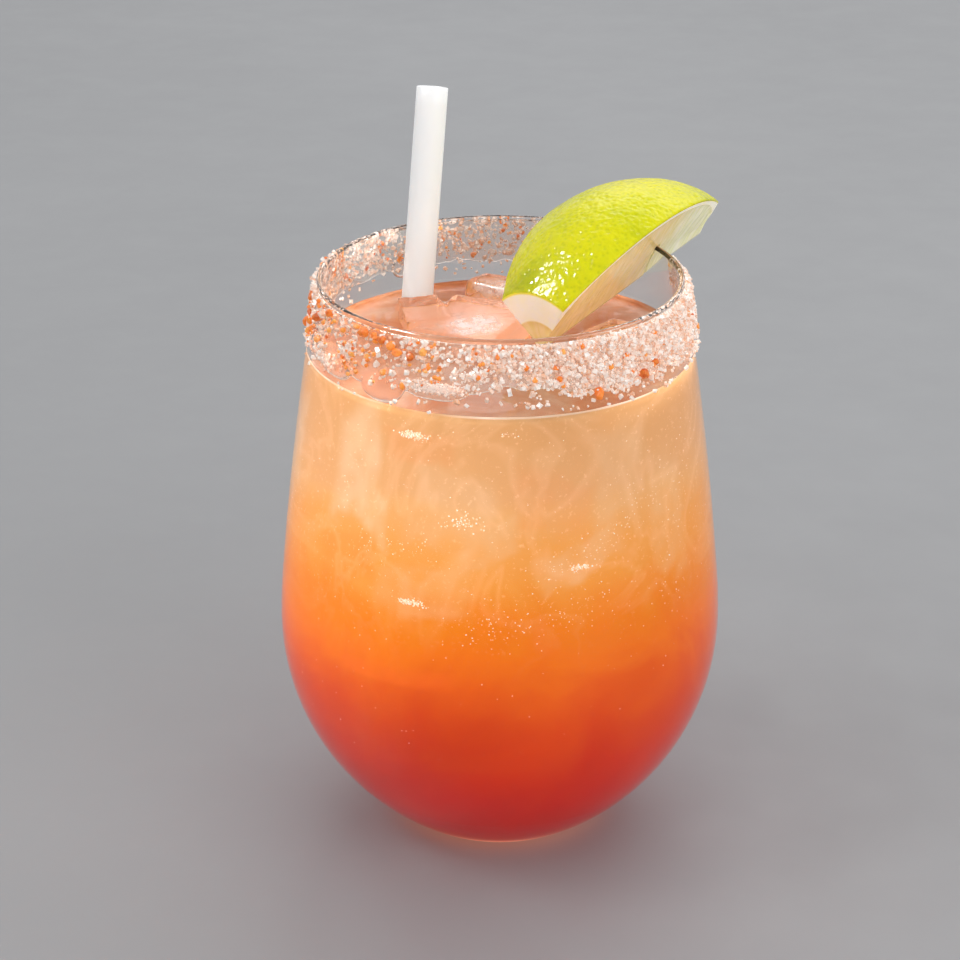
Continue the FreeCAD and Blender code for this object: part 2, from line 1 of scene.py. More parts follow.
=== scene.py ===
"""Looks of the margarita cocktail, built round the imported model.

Lengths are in millimetres until a mesh is made, which MM turns into metres. Azimuths are in degrees
from +X towards +Y, so the side that faces the camera is at -90.
"""

import math

import bmesh
import bpy
import numpy as np
from mathutils import Euler, Matrix, Vector, noise


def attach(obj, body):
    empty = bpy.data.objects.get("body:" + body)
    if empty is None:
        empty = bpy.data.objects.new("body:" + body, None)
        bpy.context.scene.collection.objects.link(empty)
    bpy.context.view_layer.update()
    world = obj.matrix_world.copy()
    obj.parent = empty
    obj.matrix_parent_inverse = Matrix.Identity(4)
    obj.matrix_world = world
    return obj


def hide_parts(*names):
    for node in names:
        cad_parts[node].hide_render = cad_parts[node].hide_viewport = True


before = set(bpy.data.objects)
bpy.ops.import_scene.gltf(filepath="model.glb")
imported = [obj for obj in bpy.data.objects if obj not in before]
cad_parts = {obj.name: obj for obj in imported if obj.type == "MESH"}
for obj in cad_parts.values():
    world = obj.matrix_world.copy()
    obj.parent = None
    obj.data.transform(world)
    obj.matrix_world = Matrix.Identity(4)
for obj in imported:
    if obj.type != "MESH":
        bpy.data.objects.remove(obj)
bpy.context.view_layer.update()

MM = 0.001
SCATTER = np.random.default_rng(11)

# The glass, the straw and what hangs on the rim, as in the CAD model.
WALL_THICKNESS = 1.2
DRINK_LEVEL = 104.5
LIME_LENGTH = 55.2
LIME_RADIUS = 22.3
LIME_INNER_END = 13.3
LIME_OUTER_END = 11.0
LIME_ANGLE = 75.5
LIME_AZIMUTH = 36.5
LIME_HEADING = 51.0
LIME_RISE = 10.7
LIME_ROLL = 5.2
LIME_SLIT_PLACE = 34.1
LIME_SLIT_DEPTH = 8.95
SEAT_GAP = 0.3
STRAW_RADIUS = 3.25
STRAW_WALL = 0.35

# The camera stands where a person sits: height and distance from the glass's axis, tilt and turn.
CAMERA_HEIGHT = 317.0
CAMERA_DISTANCE = 542.0
CAMERA_TILT = 24.06
CAMERA_TURN = 0.44
CAMERA_LENS = 107.5

# Colour of the drink by height: pale where the ice melts, orange below it and red at the foot.
DRINK_COLOURS = (
    (2.0, (0.311, 0.005, 0.001)),
    (10.0, (0.345, 0.004, 0.001)),
    (20.0, (0.394, 0.008, 0.001)),
    (30.0, (0.447, 0.020, 0.001)),
    (40.0, (0.502, 0.045, 0.001)),
    (48.0, (0.580, 0.086, 0.001)),
    (55.0, (0.644, 0.141, 0.001)),
    (61.0, (0.650, 0.177, 0.002)),
    (65.0, (0.661, 0.214, 0.016)),
    (70.0, (0.667, 0.264, 0.041)),
    (77.0, (0.665, 0.290, 0.066)),
    (84.0, (0.643, 0.332, 0.122)),
    (89.0, (0.611, 0.319, 0.134)),
    (97.0, (0.586, 0.308, 0.129)),
    (106.0, (0.564, 0.284, 0.112)),
)


# ---------------- meshes


def make_piece(name, points, faces, materials, replaces, smooth=True, face_slots=None):
    """A mesh from points in millimetres, riding on the one body, with its materials."""
    mesh = bpy.data.meshes.new(name)
    mesh.from_pydata((np.asarray(points, float) * MM).tolist(), [], faces)
    mesh.validate()
    for material in materials:
        mesh.materials.append(material)
    mesh.polygons.foreach_set("use_smooth", [smooth] * len(mesh.polygons))
    if face_slots is not None:
        mesh.polygons.foreach_set("material_index", face_slots)
    piece = add_object(name, mesh)
    adopt(piece, replaces)
    return piece


def add_object(name, data):
    made = bpy.data.objects.new(name, data)
    bpy.context.scene.collection.objects.link(made)
    return made


def adopt(piece, replaces):
    """Hangs a piece on the root body and hides the CAD nodes that it stands for."""
    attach(piece, "root")
    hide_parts(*replaces)


def places_of(mesh):
    """The mesh's points in millimetres."""
    return np.array([vertex.co for vertex in mesh.vertices]) / MM


def after_modifiers(piece):
    """A new mesh of the piece with its modifiers applied."""
    bpy.context.view_layer.update()
    ready = piece.evaluated_get(bpy.context.evaluated_depsgraph_get())
    return bpy.data.meshes.new_from_object(ready)


def grid_faces(rows, columns, closed=False, start=0):
    """Quads of a grid of points, row by row; closed joins its last column to its first."""
    faces = []
    across = columns if closed else columns - 1
    for row in range(rows - 1):
        for column in range(across):
            a = start + row * columns + column
            b = start + row * columns + (column + 1) % columns
            faces.append((a, b, b + columns, a + columns))
    return faces


def circles(section, segments):
    """Points of a circle about Z for each radius and height of the section."""
    angles = np.linspace(0, 2 * np.pi, segments, endpoint=False)
    return [(r * math.cos(a), r * math.sin(a), z) for r, z in section for a in angles]


def revolve_loop(section, segments):
    """Points and faces of a ring-shaped skin about Z, from a closed section."""
    faces = grid_faces(len(section), segments, closed=True)
    last = (len(section) - 1) * segments
    faces += [(last + i, last + (i + 1) % segments, (i + 1) % segments, i) for i in range(segments)]
    return circles(section, segments), faces


def revolve(outline, segments):
    """Points and faces of a closed skin about Z; outline runs from one axis point to another."""
    inner = outline[1:-1]
    points = [(0.0, 0.0, outline[0][1]), *circles(inner, segments), (0.0, 0.0, outline[-1][1])]
    faces = [(0, 1 + (i + 1) % segments, 1 + i) for i in range(segments)]
    faces += grid_faces(len(inner), segments, closed=True, start=1)
    last = len(points) - 1
    top = last - segments
    faces += [(last, top + i, top + (i + 1) % segments) for i in range(segments)]
    return points, faces


def set_values(mesh, name, values):
    """A number for each point of the mesh, which materials read by its name."""
    held = mesh.attributes.new(name, "FLOAT", "POINT")
    held.data.foreach_set("value", np.asarray(values, np.float32))


def set_vectors(mesh, name, values):
    held = mesh.attributes.new(name, "FLOAT_VECTOR", "POINT")
    held.data.foreach_set("vector", np.asarray(values, np.float32).ravel())


def wobble(x, y, z, scale, seed=0.0):
    """Smooth noise between about -1 and 1, with features scale millimetres wide."""
    return noise.noise(Vector((x / scale + seed, y / scale - seed, z / scale + 2 * seed)))


def from_middle(azimuth, middle):
    """Degrees from one azimuth to another, between -180 and 180."""
    return (azimuth - middle + 180) % 360 - 180


def smooth_step(low, high, value):
    t = np.clip((value - low) / (high - low), 0, 1)
    return t * t * (3 - 2 * t)


# ---------------- materials


class Finish:
    """A material made of nodes round one Principled shader, whose constant values it is given."""

    def __init__(self, name, **values):
        self.material = bpy.data.materials.new(name)
        self.material.use_nodes = True
        self.tree = self.material.node_tree
        self.shader = self.tree.nodes["Principled BSDF"]
        for socket, value in values.items():
            self.shader.inputs[socket.replace("_", " ")].default_value = value

    def node(self, kind, inputs=None, **settings):
        made = self.tree.nodes.new(kind)
        for key, value in settings.items():
            setattr(made, key, value)
        for key, value in (inputs or {}).items():
            self.feed(made.inputs[key], value)
        return made

    def feed(self, socket, value):
        """Links a socket to another node's output, or gives it a constant value."""
        if isinstance(value, bpy.types.NodeSocket):
            self.tree.links.new(value, socket)
        else:
            socket.default_value = value

    def set(self, socket, source):
        self.tree.links.new(source, self.shader.inputs[socket])

    def paint(self, colour):
        """Gives the surface its colour, and a faint painted glow of the same colour, as if lit from
        inside.
        """
        self.set("Base Color", colour)
        self.set("Emission Color", colour)

    def roughen(self, scale, low, high):
        """Roughness that wanders between low and high."""
        self.set("Roughness", self.span(self.noise(scale), 0.3, 0.7, low, high))

    def dimple(self, scale, detail, distance, strength):
        """Fine relief made of noise."""
        self.set("Normal", self.bump(self.noise(scale, detail), distance, strength))

    def patches(self, scale, dark, light, detail=3.0):
        """A colour that wanders between two."""
        return self.ramp(self.noise(scale, detail), (0.3, dark), (0.7, light))

    def place(self):
        return self.node("ShaderNodeTexCoord").outputs["Object"]

    def height(self):
        """Height over the table, in metres."""
        return self.node("ShaderNodeSeparateXYZ", {"Vector": self.place()}).outputs["Z"]

    def noise(self, scale, detail=3.0, rough=0.55, distortion=0.0):
        inputs = {"Scale": scale, "Detail": detail, "Roughness": rough, "Distortion": distortion}
        inputs["Vector"] = self.place()
        return self.node("ShaderNodeTexNoise", inputs).outputs["Fac"]

    def cells(self, scale, vector=None):
        inputs = {"Scale": scale, "Vector": vector or self.place()}
        return self.node("ShaderNodeTexVoronoi", inputs).outputs["Distance"]

    def ramp(self, source, *stops):
        """source turned into a colour by stops of (position, colour)."""
        made = self.node("ShaderNodeValToRGB", {"Fac": source})
        elements = made.color_ramp.elements
        while len(elements) < len(stops):
            elements.new(0.5)
        for element, (position, colour) in zip(elements, stops):
            element.position = position
            element.color = (*colour, 1.0)
        return made.outputs["Color"]

    def span(self, source, low, high, to_low=0.0, to_high=1.0):
        """source from low..high to to_low..to_high, held at the ends."""
        inputs = {"Value": source, "From Min": low, "From Max": high}
        inputs.update({"To Min": to_low, "To Max": to_high})
        return self.node("ShaderNodeMapRange", inputs).outputs["Result"]

    def maths(self, operation, a, b=0.0):
        made = self.node("ShaderNodeMath", operation=operation)
        for socket, value in zip(made.inputs, (a, b)):
            self.feed(socket, value)
        return made.outputs["Value"]

    def mix(self, factor, a, b):
        """Colour a where factor is 0 and colour b where it is 1."""
        made = self.node("ShaderNodeMix", data_type="RGBA")
        for index, value in ((0, factor), (6, a), (7, b)):
            self.feed(made.inputs[index], (*value, 1.0) if isinstance(value, tuple) else value)
        return made.outputs[2]

    def value(self, name):
        """A number that the mesh holds for each point."""
        return self.node("ShaderNodeAttribute", attribute_name=name).outputs["Fac"]

    def vector(self, name):
        return self.node("ShaderNodeAttribute", attribute_name=name).outputs["Vector"]

    def bump(self, height, distance, strength=1.0, under=None):
        inputs = {"Height": height, "Distance": distance * MM, "Strength": strength}
        if under:
            inputs["Normal"] = under
        return self.node("ShaderNodeBump", inputs).outputs["Normal"]

    def let_lamps_through(self, tint):
        """Rays from lamps pass straight through, so that they light what stands behind."""
        path = self.node("ShaderNodeLightPath").outputs["Is Shadow Ray"]
        clear = self.node("ShaderNodeBsdfTransparent", {"Color": (*tint, 1.0)}).outputs["BSDF"]
        inputs = {"Fac": path, 1: self.shader.outputs["BSDF"], 2: clear}
        mixed = self.node("ShaderNodeMixShader", inputs).outputs["Shader"]
        self.tree.links.new(mixed, self.tree.nodes["Material Output"].inputs["Surface"])


def drink_colour(finish):
    """The drink's colour by height, with soft clouds where it mixes."""
    height = finish.height()
    clouds = finish.span(finish.noise(45.0, 4.0, 0.6, distortion=0.8), 0.25, 0.75, -0.004, 0.004)
    top = DRINK_COLOURS[-1][0]
    share = finish.maths("DIVIDE", finish.maths("ADD", height, clouds), top * MM)
    return finish.ramp(share, *((level / top, colour) for level, colour in DRINK_COLOURS))


def drink_side_finish():
    """The drink against the glass, with ice behind it, pale swirls and fine fizz."""
    finish = Finish("drink_side", Specular_IOR_Level=0.0)
    colour = drink_colour(finish)
    colour = finish.mix(finish.value("pale_ice"), colour, (0.70, 0.54, 0.36))
    colour = finish.mix(finish.value("deep_ice"), colour, (0.74, 0.14, 0.01))
    under_ice = finish.maths("MULTIPLY", finish.value("under_ice"), 0.75)
    colour = finish.mix(under_ice, colour, (0.64, 0.40, 0.29))
    strength = finish.value("swirl")
    off_middle = finish.maths("SUBTRACT", finish.noise(34.0, 3.0, 0.5, distortion=1.6), 0.5)
    line = finish.span(finish.maths("ABSOLUTE", off_middle), 0.0, 0.05, 1.0, 0.0)
    colour = finish.mix(finish.maths("MULTIPLY", line, strength), colour, (0.95, 0.66, 0.42))
    fizz = finish.span(finish.noise(1100.0, 2.0, 0.7), 0.60, 0.76, 0.0, 2.2)
    colour = finish.mix(finish.maths("MULTIPLY", fizz, strength), colour, (1.0, 0.74, 0.48))
    # A thin pale line, here and there, where the surface climbs the glass: a painted highlight of the
    # meniscus.
    height = finish.height()
    edge = finish.span(height, (DRINK_LEVEL + 0.25) * MM, (DRINK_LEVEL + 0.5) * MM)
    edge = finish.maths("MULTIPLY", edge, finish.span(finish.noise(40.0), 0.42, 0.60, 0.05, 0.65))
    colour = finish.mix(edge, colour, (0.95, 0.78, 0.66))
    finish.paint(colour)
    # Painted glow, stronger towards the foot, standing in for light passing through the drink.
    finish.set("Emission Strength", finish.span(height, 0.005, 0.060, 0.76, 0.47))
    finish.roughen(300.0, 0.45, 0.65)
    return finish.material


def drink_top_finish():
    """The surface of the drink: pink and peach with orange streaks, wet and shiny."""
    # Emission_Strength gives the surface a painted glow, as of light passing through the drink.
    finish = Finish("drink_top", IOR=1.34, Specular_IOR_Level=0.3, Emission_Strength=0.15)
    swirl = finish.noise(75.0, 5.0, 0.6, distortion=1.2)
    colour = finish.ramp(
        swirl,
        (0.30, (0.48, 0.13, 0.040)),
        (0.45, (0.52, 0.18, 0.070)),
        (0.58, (0.54, 0.24, 0.12)),
        (0.75, (0.60, 0.36, 0.23)),
    )
    finish.paint(colour)
    finish.roughen(220.0, 0.03, 0.10)
    finish.dimple(120.0, 2.0, 0.5, 0.35)
    return finish.material


def glass_finish():
    """Clear glass, smeared a little where hands have held it."""
    finish = Finish(
        "clear_glass",
        IOR=1.48,
        Specular_IOR_Level=0.12,
        Transmission_Weight=1.0,
        Emission_Color=(1.0, 0.46, 0.25, 1.0),
    )
    finish.set("Base Color", finish.patches(20.0, (0.97, 0.985, 0.98), (0.99, 0.995, 0.99)))
    finish.set("Roughness", finish.span(finish.noise(60.0, 4.0, 0.7), 0.55, 0.80, 0.0, 0.035))
    finish.dimple(35.0, 1.0, 0.25, 0.25)
    # A painted orange glow on the thick base, standing in for the drink's light that it gathers.
    finish.set("Emission Strength", finish.span(finish.height(), 0.0008, 0.0036, 0.45, 0.0))
    finish.let_lamps_through((0.93, 0.94, 0.94))
    return finish.material


def ice_finish():
    """Clear ice with frosted patches, fine cracks and a trace of the drink's colour."""
    finish = Finish("ice", IOR=1.31)
    frost = finish.value("frost")
    grain = finish.noise(420.0, 4.0, 0.7)
    patch = finish.maths("MULTIPLY", frost, finish.span(grain, 0.38, 0.58, 0.25, 1.0))
    clear = finish.ramp(finish.noise(60.0), (0.35, (0.98, 0.90, 0.84)), (0.65, (1.0, 0.97, 0.94)))
    finish.set("Base Color", finish.mix(patch, clear, (1.0, 0.97, 0.95)))
    # The frosted patches get a faint painted glow.
    finish.set("Emission Color", finish.mix(patch, (0.9, 0.6, 0.45), (1.0, 0.95, 0.92)))
    finish.set("Emission Strength", finish.span(patch, 0.0, 1.0, 0.0, 0.05))
    finish.set("Transmission Weight", finish.span(patch, 0.0, 1.0, 1.0, 0.35))
    finish.set("Roughness", finish.span(patch, 0.0, 1.0, 0.02, 0.35))
    uneven = finish.bump(finish.noise(180.0, 3.0), 0.6, 0.4)
    finish.set("Normal", finish.bump(grain, 0.3, 0.3, under=uneven))
    finish.let_lamps_through((0.95, 0.93, 0.92))
    return finish.material


def straw_finish():
    """Matt off-white, a little cooler towards the drink."""
    # Emission_Strength gives the straw a painted glow that brightens it.
    finish = Finish(
        "straw",
        IOR=1.45,
        Emission_Strength=0.12,
        Subsurface_Weight=0.3,
        Subsurface_Radius=(0.002, 0.0018, 0.0015),
        Subsurface_Scale=1.0,
    )
    tint = finish.ramp(
        finish.span(finish.height(), 0.100, 0.150),
        (0.0, (0.88, 0.92, 0.92)),
        (0.35, (0.90, 0.93, 0.92)),
        (1.0, (0.94, 0.94, 0.93)),
    )
    mottle = finish.span(finish.noise(400.0, 4.0), 0.3, 0.7, 0.0, 0.08)
    colour = finish.mix(mottle, tint, (0.86, 0.83, 0.78))
    finish.paint(colour)
    finish.roughen(600.0, 0.28, 0.42)
    finish.dimple(900.0, 2.0, 0.05, 0.4)
    return finish.material


def peel_finish():
    """Bright yellow-green peel: wet, glossy and finely pored."""
    finish = Finish("lime_peel", IOR=1.45, Specular_IOR_Level=0.25)
    colour = finish.ramp(
        finish.noise(55.0, 4.0, 0.6),
        (0.28, (0.52, 0.56, 0.001)),
        (0.42, (0.72, 0.71, 0.001)),
        (0.60, (0.84, 0.78, 0.001)),
    )
    glands = finish.span(finish.cells(900.0), 0.10, 0.45, 0.35, 0.0)
    colour = finish.mix(glands, colour, (0.42, 0.48, 0.002))
    edge = finish.span(finish.value("peel_depth"), 0.35, 0.8)
    colour = finish.mix(edge, colour, (0.90, 0.72, 0.10))
    finish.set("Base Color", colour)
    finish.roughen(260.0, 0.10, 0.26)
    pores = finish.bump(finish.cells(900.0), 0.14, 0.8)
    finish.set("Normal", finish.bump(finish.noise(330.0, 2.0), 0.45, 0.7, under=pores))
    return finish.material


def flesh_finish():
    """The wedge's cut faces: a yellow-green line, white pith and clear juice sacs."""
    # Emission_Strength gives the flesh a painted glow, as of light passing through it.
    finish = Finish(
        "lime_flesh",
        IOR=1.36,
        Emission_Strength=0.18,
        Subsurface_Weight=0.5,
        Subsurface_Radius=(0.004, 0.0035, 0.0015),
        Subsurface_Scale=1.0,
    )
    place = finish.vector("sac_place")
    stretch = finish.node("ShaderNodeMapping", {"Vector": place, "Scale": (0.85, 0.16, 4.0)})
    sacs = finish.cells(1.0, vector=stretch.outputs["Vector"])
    juice = finish.ramp(
        sacs, (0.1, (0.74, 0.74, 0.38)), (0.45, (0.80, 0.79, 0.48)), (0.8, (0.88, 0.86, 0.64))
    )
    pith = finish.patches(300.0, (0.92, 0.84, 0.66), (0.98, 0.94, 0.82), 4.0)
    along = finish.node("ShaderNodeSeparateXYZ", {"Vector": place}).outputs["X"]
    # Painted amber light from the drink, on the part of the wedge inside the glass.
    juice = finish.mix(finish.span(along, 30.0, 42.0, 0.55, 0.0), juice, (0.86, 0.55, 0.12))
    flesh = finish.span(finish.value("past_pith"), -0.25, 0.25)
    colour = finish.mix(flesh, pith, juice)
    line = finish.span(finish.value("peel_depth"), 0.35, 0.75, 1.0, 0.0)
    colour = finish.mix(line, colour, (0.78, 0.72, 0.05))
    finish.paint(colour)
    finish.set("Roughness", finish.span(flesh, 0.0, 1.0, 0.5, 0.16))
    finish.set("Normal", finish.bump(sacs, 0.12, 0.5))
    return finish.material


def film_finish():
    """The wet film under the salt: clear, and milky where salt has dissolved in it."""
    finish = Finish("salt_film", IOR=1.36)
    speck = finish.noise(1500.0, 3.0, 0.7)
    white = finish.maths("MULTIPLY", finish.value("white"), finish.span(speck, 0.35, 0.6, 0.5, 1.0))
    pale = finish.patches(250.0, (0.92, 0.68, 0.54), (0.96, 0.84, 0.75))
    clear = finish.patches(120.0, (0.97, 0.88, 0.82), (0.99, 0.96, 0.94))
    finish.set("Base Color", finish.mix(white, clear, pale))
    # The milky parts get a faint painted glow.
    finish.set("Emission Color", pale)
    finish.set("Emission Strength", finish.span(white, 0.0, 1.0, 0.0, 0.08))
    finish.set("Transmission Weight", finish.span(white, 0.0, 1.0, 1.0, 0.15))
    finish.set("Roughness", finish.span(white, 0.0, 1.0, 0.03, 0.45))
    finish.dimple(700.0, 3.0, 0.15, 0.5)
    finish.let_lamps_through((0.92, 0.88, 0.86))
    return finish.material


def salt_finish():
    """Salt crystals, from clear white to faintly pink."""
    # Emission_Strength gives the crystals a painted glow that brightens them.
    finish = Finish("salt", IOR=1.54, Emission_Strength=0.10)
    tint = finish.ramp(
        finish.value("grain"),
        (0.0, (1.0, 0.92, 0.86)),
        (0.3, (0.96, 0.80, 0.70)),
        (0.7, (0.90, 0.64, 0.50)),
        (1.0, (0.86, 0.44, 0.24)),
    )
    speck = finish.span(finish.noise(2500.0), 0.45, 0.7, 0.0, 0.5)
    colour = finish.mix(speck, tint, (1.0, 0.97, 0.95))
    finish.paint(colour)
    finish.roughen(1800.0, 0.12, 0.35)
    finish.dimple(2200.0, 2.0, 0.06, 0.5)
    return finish.material


def spice_finish():
    """Grains of chilli spice, from deep red-orange to amber."""
    # Emission_Strength gives the grains a painted glow that brightens them.
    finish = Finish(
        "spice",
        IOR=1.45,
        Emission_Strength=0.2,
        Subsurface_Weight=0.3,
        Subsurface_Radius=(0.001, 0.0004, 0.0001),
        Subsurface_Scale=1.0,
    )
    tint = finish.ramp(
        finish.value("grain"),
        (0.0, (0.50, 0.07, 0.008)),
        (0.25, (0.80, 0.17, 0.015)),
        (0.6, (0.90, 0.28, 0.03)),
        (1.0, (0.93, 0.45, 0.12)),
    )
    mottle = finish.span(finish.noise(1300.0, 3.0), 0.35, 0.65, 0.0, 0.5)
    colour = finish.mix(mottle, tint, (0.95, 0.36, 0.07))
    finish.paint(colour)
    finish.roughen(900.0, 0.2, 0.45)
    finish.dimple(1600.0, 3.0, 0.12, 0.7)
    return finish.material


def bubble_finish():
    """Bubbles in the drink: pale, with a glint."""
    # Emission_Strength gives the bubbles a painted glow.
    finish = Finish("bubbles", IOR=1.33, Emission_Strength=0.3)
    tint = finish.ramp(
        finish.value("grain"),
        (0.0, (0.95, 0.60, 0.36)),
        (0.5, (0.97, 0.76, 0.56)),
        (1.0, (1.0, 0.93, 0.84)),
    )
    finish.paint(tint)
    finish.roughen(800.0, 0.05, 0.2)
    return finish.material


# ---------------- the glass's outlines


def glass_outlines():
    """The outside and the inside of the glass as arrays of (radius, height), from the foot up."""
    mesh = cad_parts["glass"].data
    found = {"outside": set(), "inside": set()}
    for face in mesh.polygons:
        centre, normal = face.center, face.normal
        across = math.hypot(centre.x, centre.y)
        facing = (centre.x * normal.x + centre.y * normal.y) / max(across, 1e-9)
        flat = abs(facing) < 0.15
        side = "outside" if (normal.z < 0 if flat else facing > 0) else "inside"
        for index in face.vertices:
            spot = mesh.vertices[index].co / MM
            found[side].add((round(spot.z, 2), round(math.hypot(spot.x, spot.y), 2)))
    return [np.array(sorted(found[side]))[:, ::-1] for side in ("outside", "inside")]


OUTSIDE, INSIDE = glass_outlines()
GLASS_TOP = OUTSIDE[:, 1].max()
BASE_TOP = INSIDE[:, 1].min()


def outside_radius(height):
    return np.interp(height, OUTSIDE[:, 1], OUTSIDE[:, 0])


def inside_radius(height):
    wall = INSIDE[INSIDE[:, 1] < GLASS_TOP - WALL_THICKNESS]
    return np.interp(height, wall[:, 1], wall[:, 0])


# ---------------- the drink

# Ice that shows through the drink: azimuth, height, half width in degrees, half height in millimetres,
# lean, and how pale it is; a minus sign makes it deeper instead.
SUNK_ICE = (
    (-134.0, 93.0, 8.0, 10.0, 0.5, 0.42),
    (-128.0, 84.0, 7.0, 5.0, -0.6, 0.40),
    (-101.0, 86.0, 11.0, 8.0, -0.3, 0.20),
    (-93.0, 80.0, 8.0, 4.0, 0.6, 0.20),
    (-68.0, 76.0, 11.0, 3.5, 0.9, 0.28),
    (-55.0, 92.0, 9.0, 9.0, 0.2, 0.16),
    (-38.0, 80.0, 7.0, 12.0, -0.2, 0.18),
    (-110.0, 69.0, 14.0, 5.0, 0.2, 0.16),
    (-112.0, 98.0, 12.0, 3.0, 0.1, -0.12),
    (-75.0, 87.0, 9.0, 6.0, -0.5, -0.10),
    (-117.0, 50.5, 13.0, 1.6, 0.15, -0.35),
    (-83.0, 62.0, 12.0, 3.5, -0.8, -0.14),
    (-136.0, 72.0, 10.0, 5.0, 0.4, -0.16),
    (-55.0, 66.0, 12.0, 4.0, 0.6, -0.12),
    (20.0, 86.0, 12.0, 9.0, 0.4, 0.35),
    (65.0, 78.0, 12.0, 8.0, -0.5, 0.30),
    (110.0, 88.0, 13.0, 9.0, 0.3, 0.35),
    (150.0, 74.0, 11.0, 7.0, -0.4, 0.25),
    (-170.0, 86.0, 9.0, 10.0, 0.3, 0.30),
)


def sunk_ice(points):
    """How pale and how deep the sunk ice makes each point of the drink's side."""
    pale, deep = np.zeros(len(points)), np.zeros(len(points))
    azimuth = np.degrees(np.arctan2(points[:, 1], points[:, 0]))
    bend = np.array([wobble(x, y, z, 11.0, 3.0) for x, y, z in points])
    fine = np.array([wobble(x, y, z, 3.2, 8.0) for x, y, z in points])
    for middle, level, wide, tall, lean, strength in SUNK_ICE:
        across = from_middle(azimuth, middle) / wide + 0.45 * bend
        up = (points[:, 2] - level) / tall - lean * across + 0.30 * fine
        edge = np.maximum(np.abs(across), np.abs(up))
        shape = smooth_step(1.25, 0.75, edge) * (0.75 + 0.5 * fine)
        held = pale if strength > 0 else deep
        np.maximum(held, np.clip(shape, 0, 1) * abs(strength), out=held)
    return pale, deep


def drink_outline():
    """Up the drink's side from the middle of its floor, reaching just into the glass."""
    reach = 0.12
    below = INSIDE[INSIDE[:, 1] < DRINK_LEVEL]
    outline = np.vstack([[0.0, BASE_TOP], below[below[:, 0] > 0.1]])
    outline = outline[np.lexsort((outline[:, 0], outline[:, 1]))]
    outline = np.vstack([outline, [inside_radius(DRINK_LEVEL), DRINK_LEVEL]])
    steps = np.r_[0, np.cumsum(np.hypot(*np.diff(outline, axis=0).T))]
    places = np.linspace(0, steps[-1], 130)
    radius = np.interp(places, steps, outline[:, 0])
    height = np.interp(places, steps, outline[:, 1])
    radius = radius + reach * (radius > 1)
    height = np.where(height < BASE_TOP + 0.05, height - reach, height)
    return radius, height


def surface_height(x, y, wall, straw):
    """Height of the drink's surface: it climbs a little where it meets the wall and the straw."""
    radius = math.hypot(x, y)
    climb = 1.0 * math.exp(-max(wall - radius, 0) / 0.8)
    near = max(math.hypot(x - straw[0], y - straw[1]) - STRAW_RADIUS - 0.15, 0)
    climb += 0.5 * math.exp(-near / 0.6)
    return DRINK_LEVEL - 0.25 + climb + 0.15 * wobble(x, y, 0, 9.0)


def make_drink(straw_at_level):
    """The drink up to its level, with the marks that its side's finish reads."""
    segments = 288
    radius, height = drink_outline()
    wall = radius[-1]
    side = [(0.0, height[0]), *zip(radius[1:], height[1:])]
    top = [(ring, DRINK_LEVEL) for ring in np.linspace(wall, 0.7, 62)[1:]]
    outline = [*side, *top, (0.0, DRINK_LEVEL)]
    points, faces = revolve(outline, segments)
    points = np.array(points)
    top_start = 1 + (len(side) - 2) * segments
    for index in range(top_start, len(points)):
        x, y, _ = points[index]
        points[index][2] = surface_height(x, y, wall, straw_at_level)
    tops = [int(min(face) >= top_start) for face in faces]
    finishes = [drink_side_finish(), drink_top_finish()]
    drink = make_piece("drink_body", points, faces, finishes, ("drink",), face_slots=tops)
    pale, deep = sunk_ice(points)
    set_values(drink.data, "pale_ice", pale)
    set_values(drink.data, "deep_ice", deep)
    set_values(drink.data, "swirl", 0.10 * smooth_step(48.0, 80.0, points[:, 2]))
    return drink


def carve(piece, tools):
    """Cuts the tools' meshes out of a piece and removes the tools."""
    for tool in tools:
        modifier = piece.modifiers.new("carve", "BOOLEAN")
        modifier.operation = "DIFFERENCE"
        modifier.solver = "EXACT"
        modifier.object = tool
    carved = after_modifiers(piece)
    piece.modifiers.clear()
    piece.data = carved
    for tool in tools:
        bpy.data.objects.remove(tool)


def mark_ice_hollows(drink):
    """Marks where the drink lies against the floating cubes, so that it is paler there."""
    wall_gap, deepest, shallowest = 1.0, 24.5, 0.9
    x, y, z = places_of(drink.data).T
    off_the_wall = np.hypot(x, y) < inside_radius(z) - wall_gap
    by_the_cubes = (z > DRINK_LEVEL - deepest) & (z < DRINK_LEVEL - shallowest)
    set_values(drink.data, "under_ice", off_the_wall & by_the_cubes)


# ---------------- the ice


# A shard frozen to the middle cube on the straw's side: centre, half sides and turns in degrees.
SHARD = ((-15.8, 11.8, 100.8), (4.6, 6.2, 8.6), (4.0, -3.0, 12.0))


def add_shard(mesh):
    """Adds the shard to the middle cube's mesh."""
    centre, half, turns = SHARD
    turn = Euler([math.radians(value) for value in turns]).to_matrix()
    corners, faces = crystal()
    made = bmesh.new()
    made.from_mesh(mesh)
    added = [made.verts.new((Vector(centre) + turn @ Vector(spot * half)) * MM) for spot in corners]
    for face in faces:
        made.faces.new([added[index] for index in face])
    made.to_mesh(mesh)
    made.free()


def even_mesh(node, voxel):
    """A copy of a CAD node's mesh made of even quads; the middle cube's has the shard too."""
    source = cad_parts[node].data.copy()
    source.materials.clear()
    if node == "ice_centre":
        add_shard(source)
    copy = add_object(node + "_even", source)
    remesh = copy.modifiers.new("even", "REMESH")
    remesh.mode = "VOXEL"
    remesh.voxel_size = voxel * MM
    mesh = after_modifiers(copy)
    bpy.data.objects.remove(copy)
    return mesh


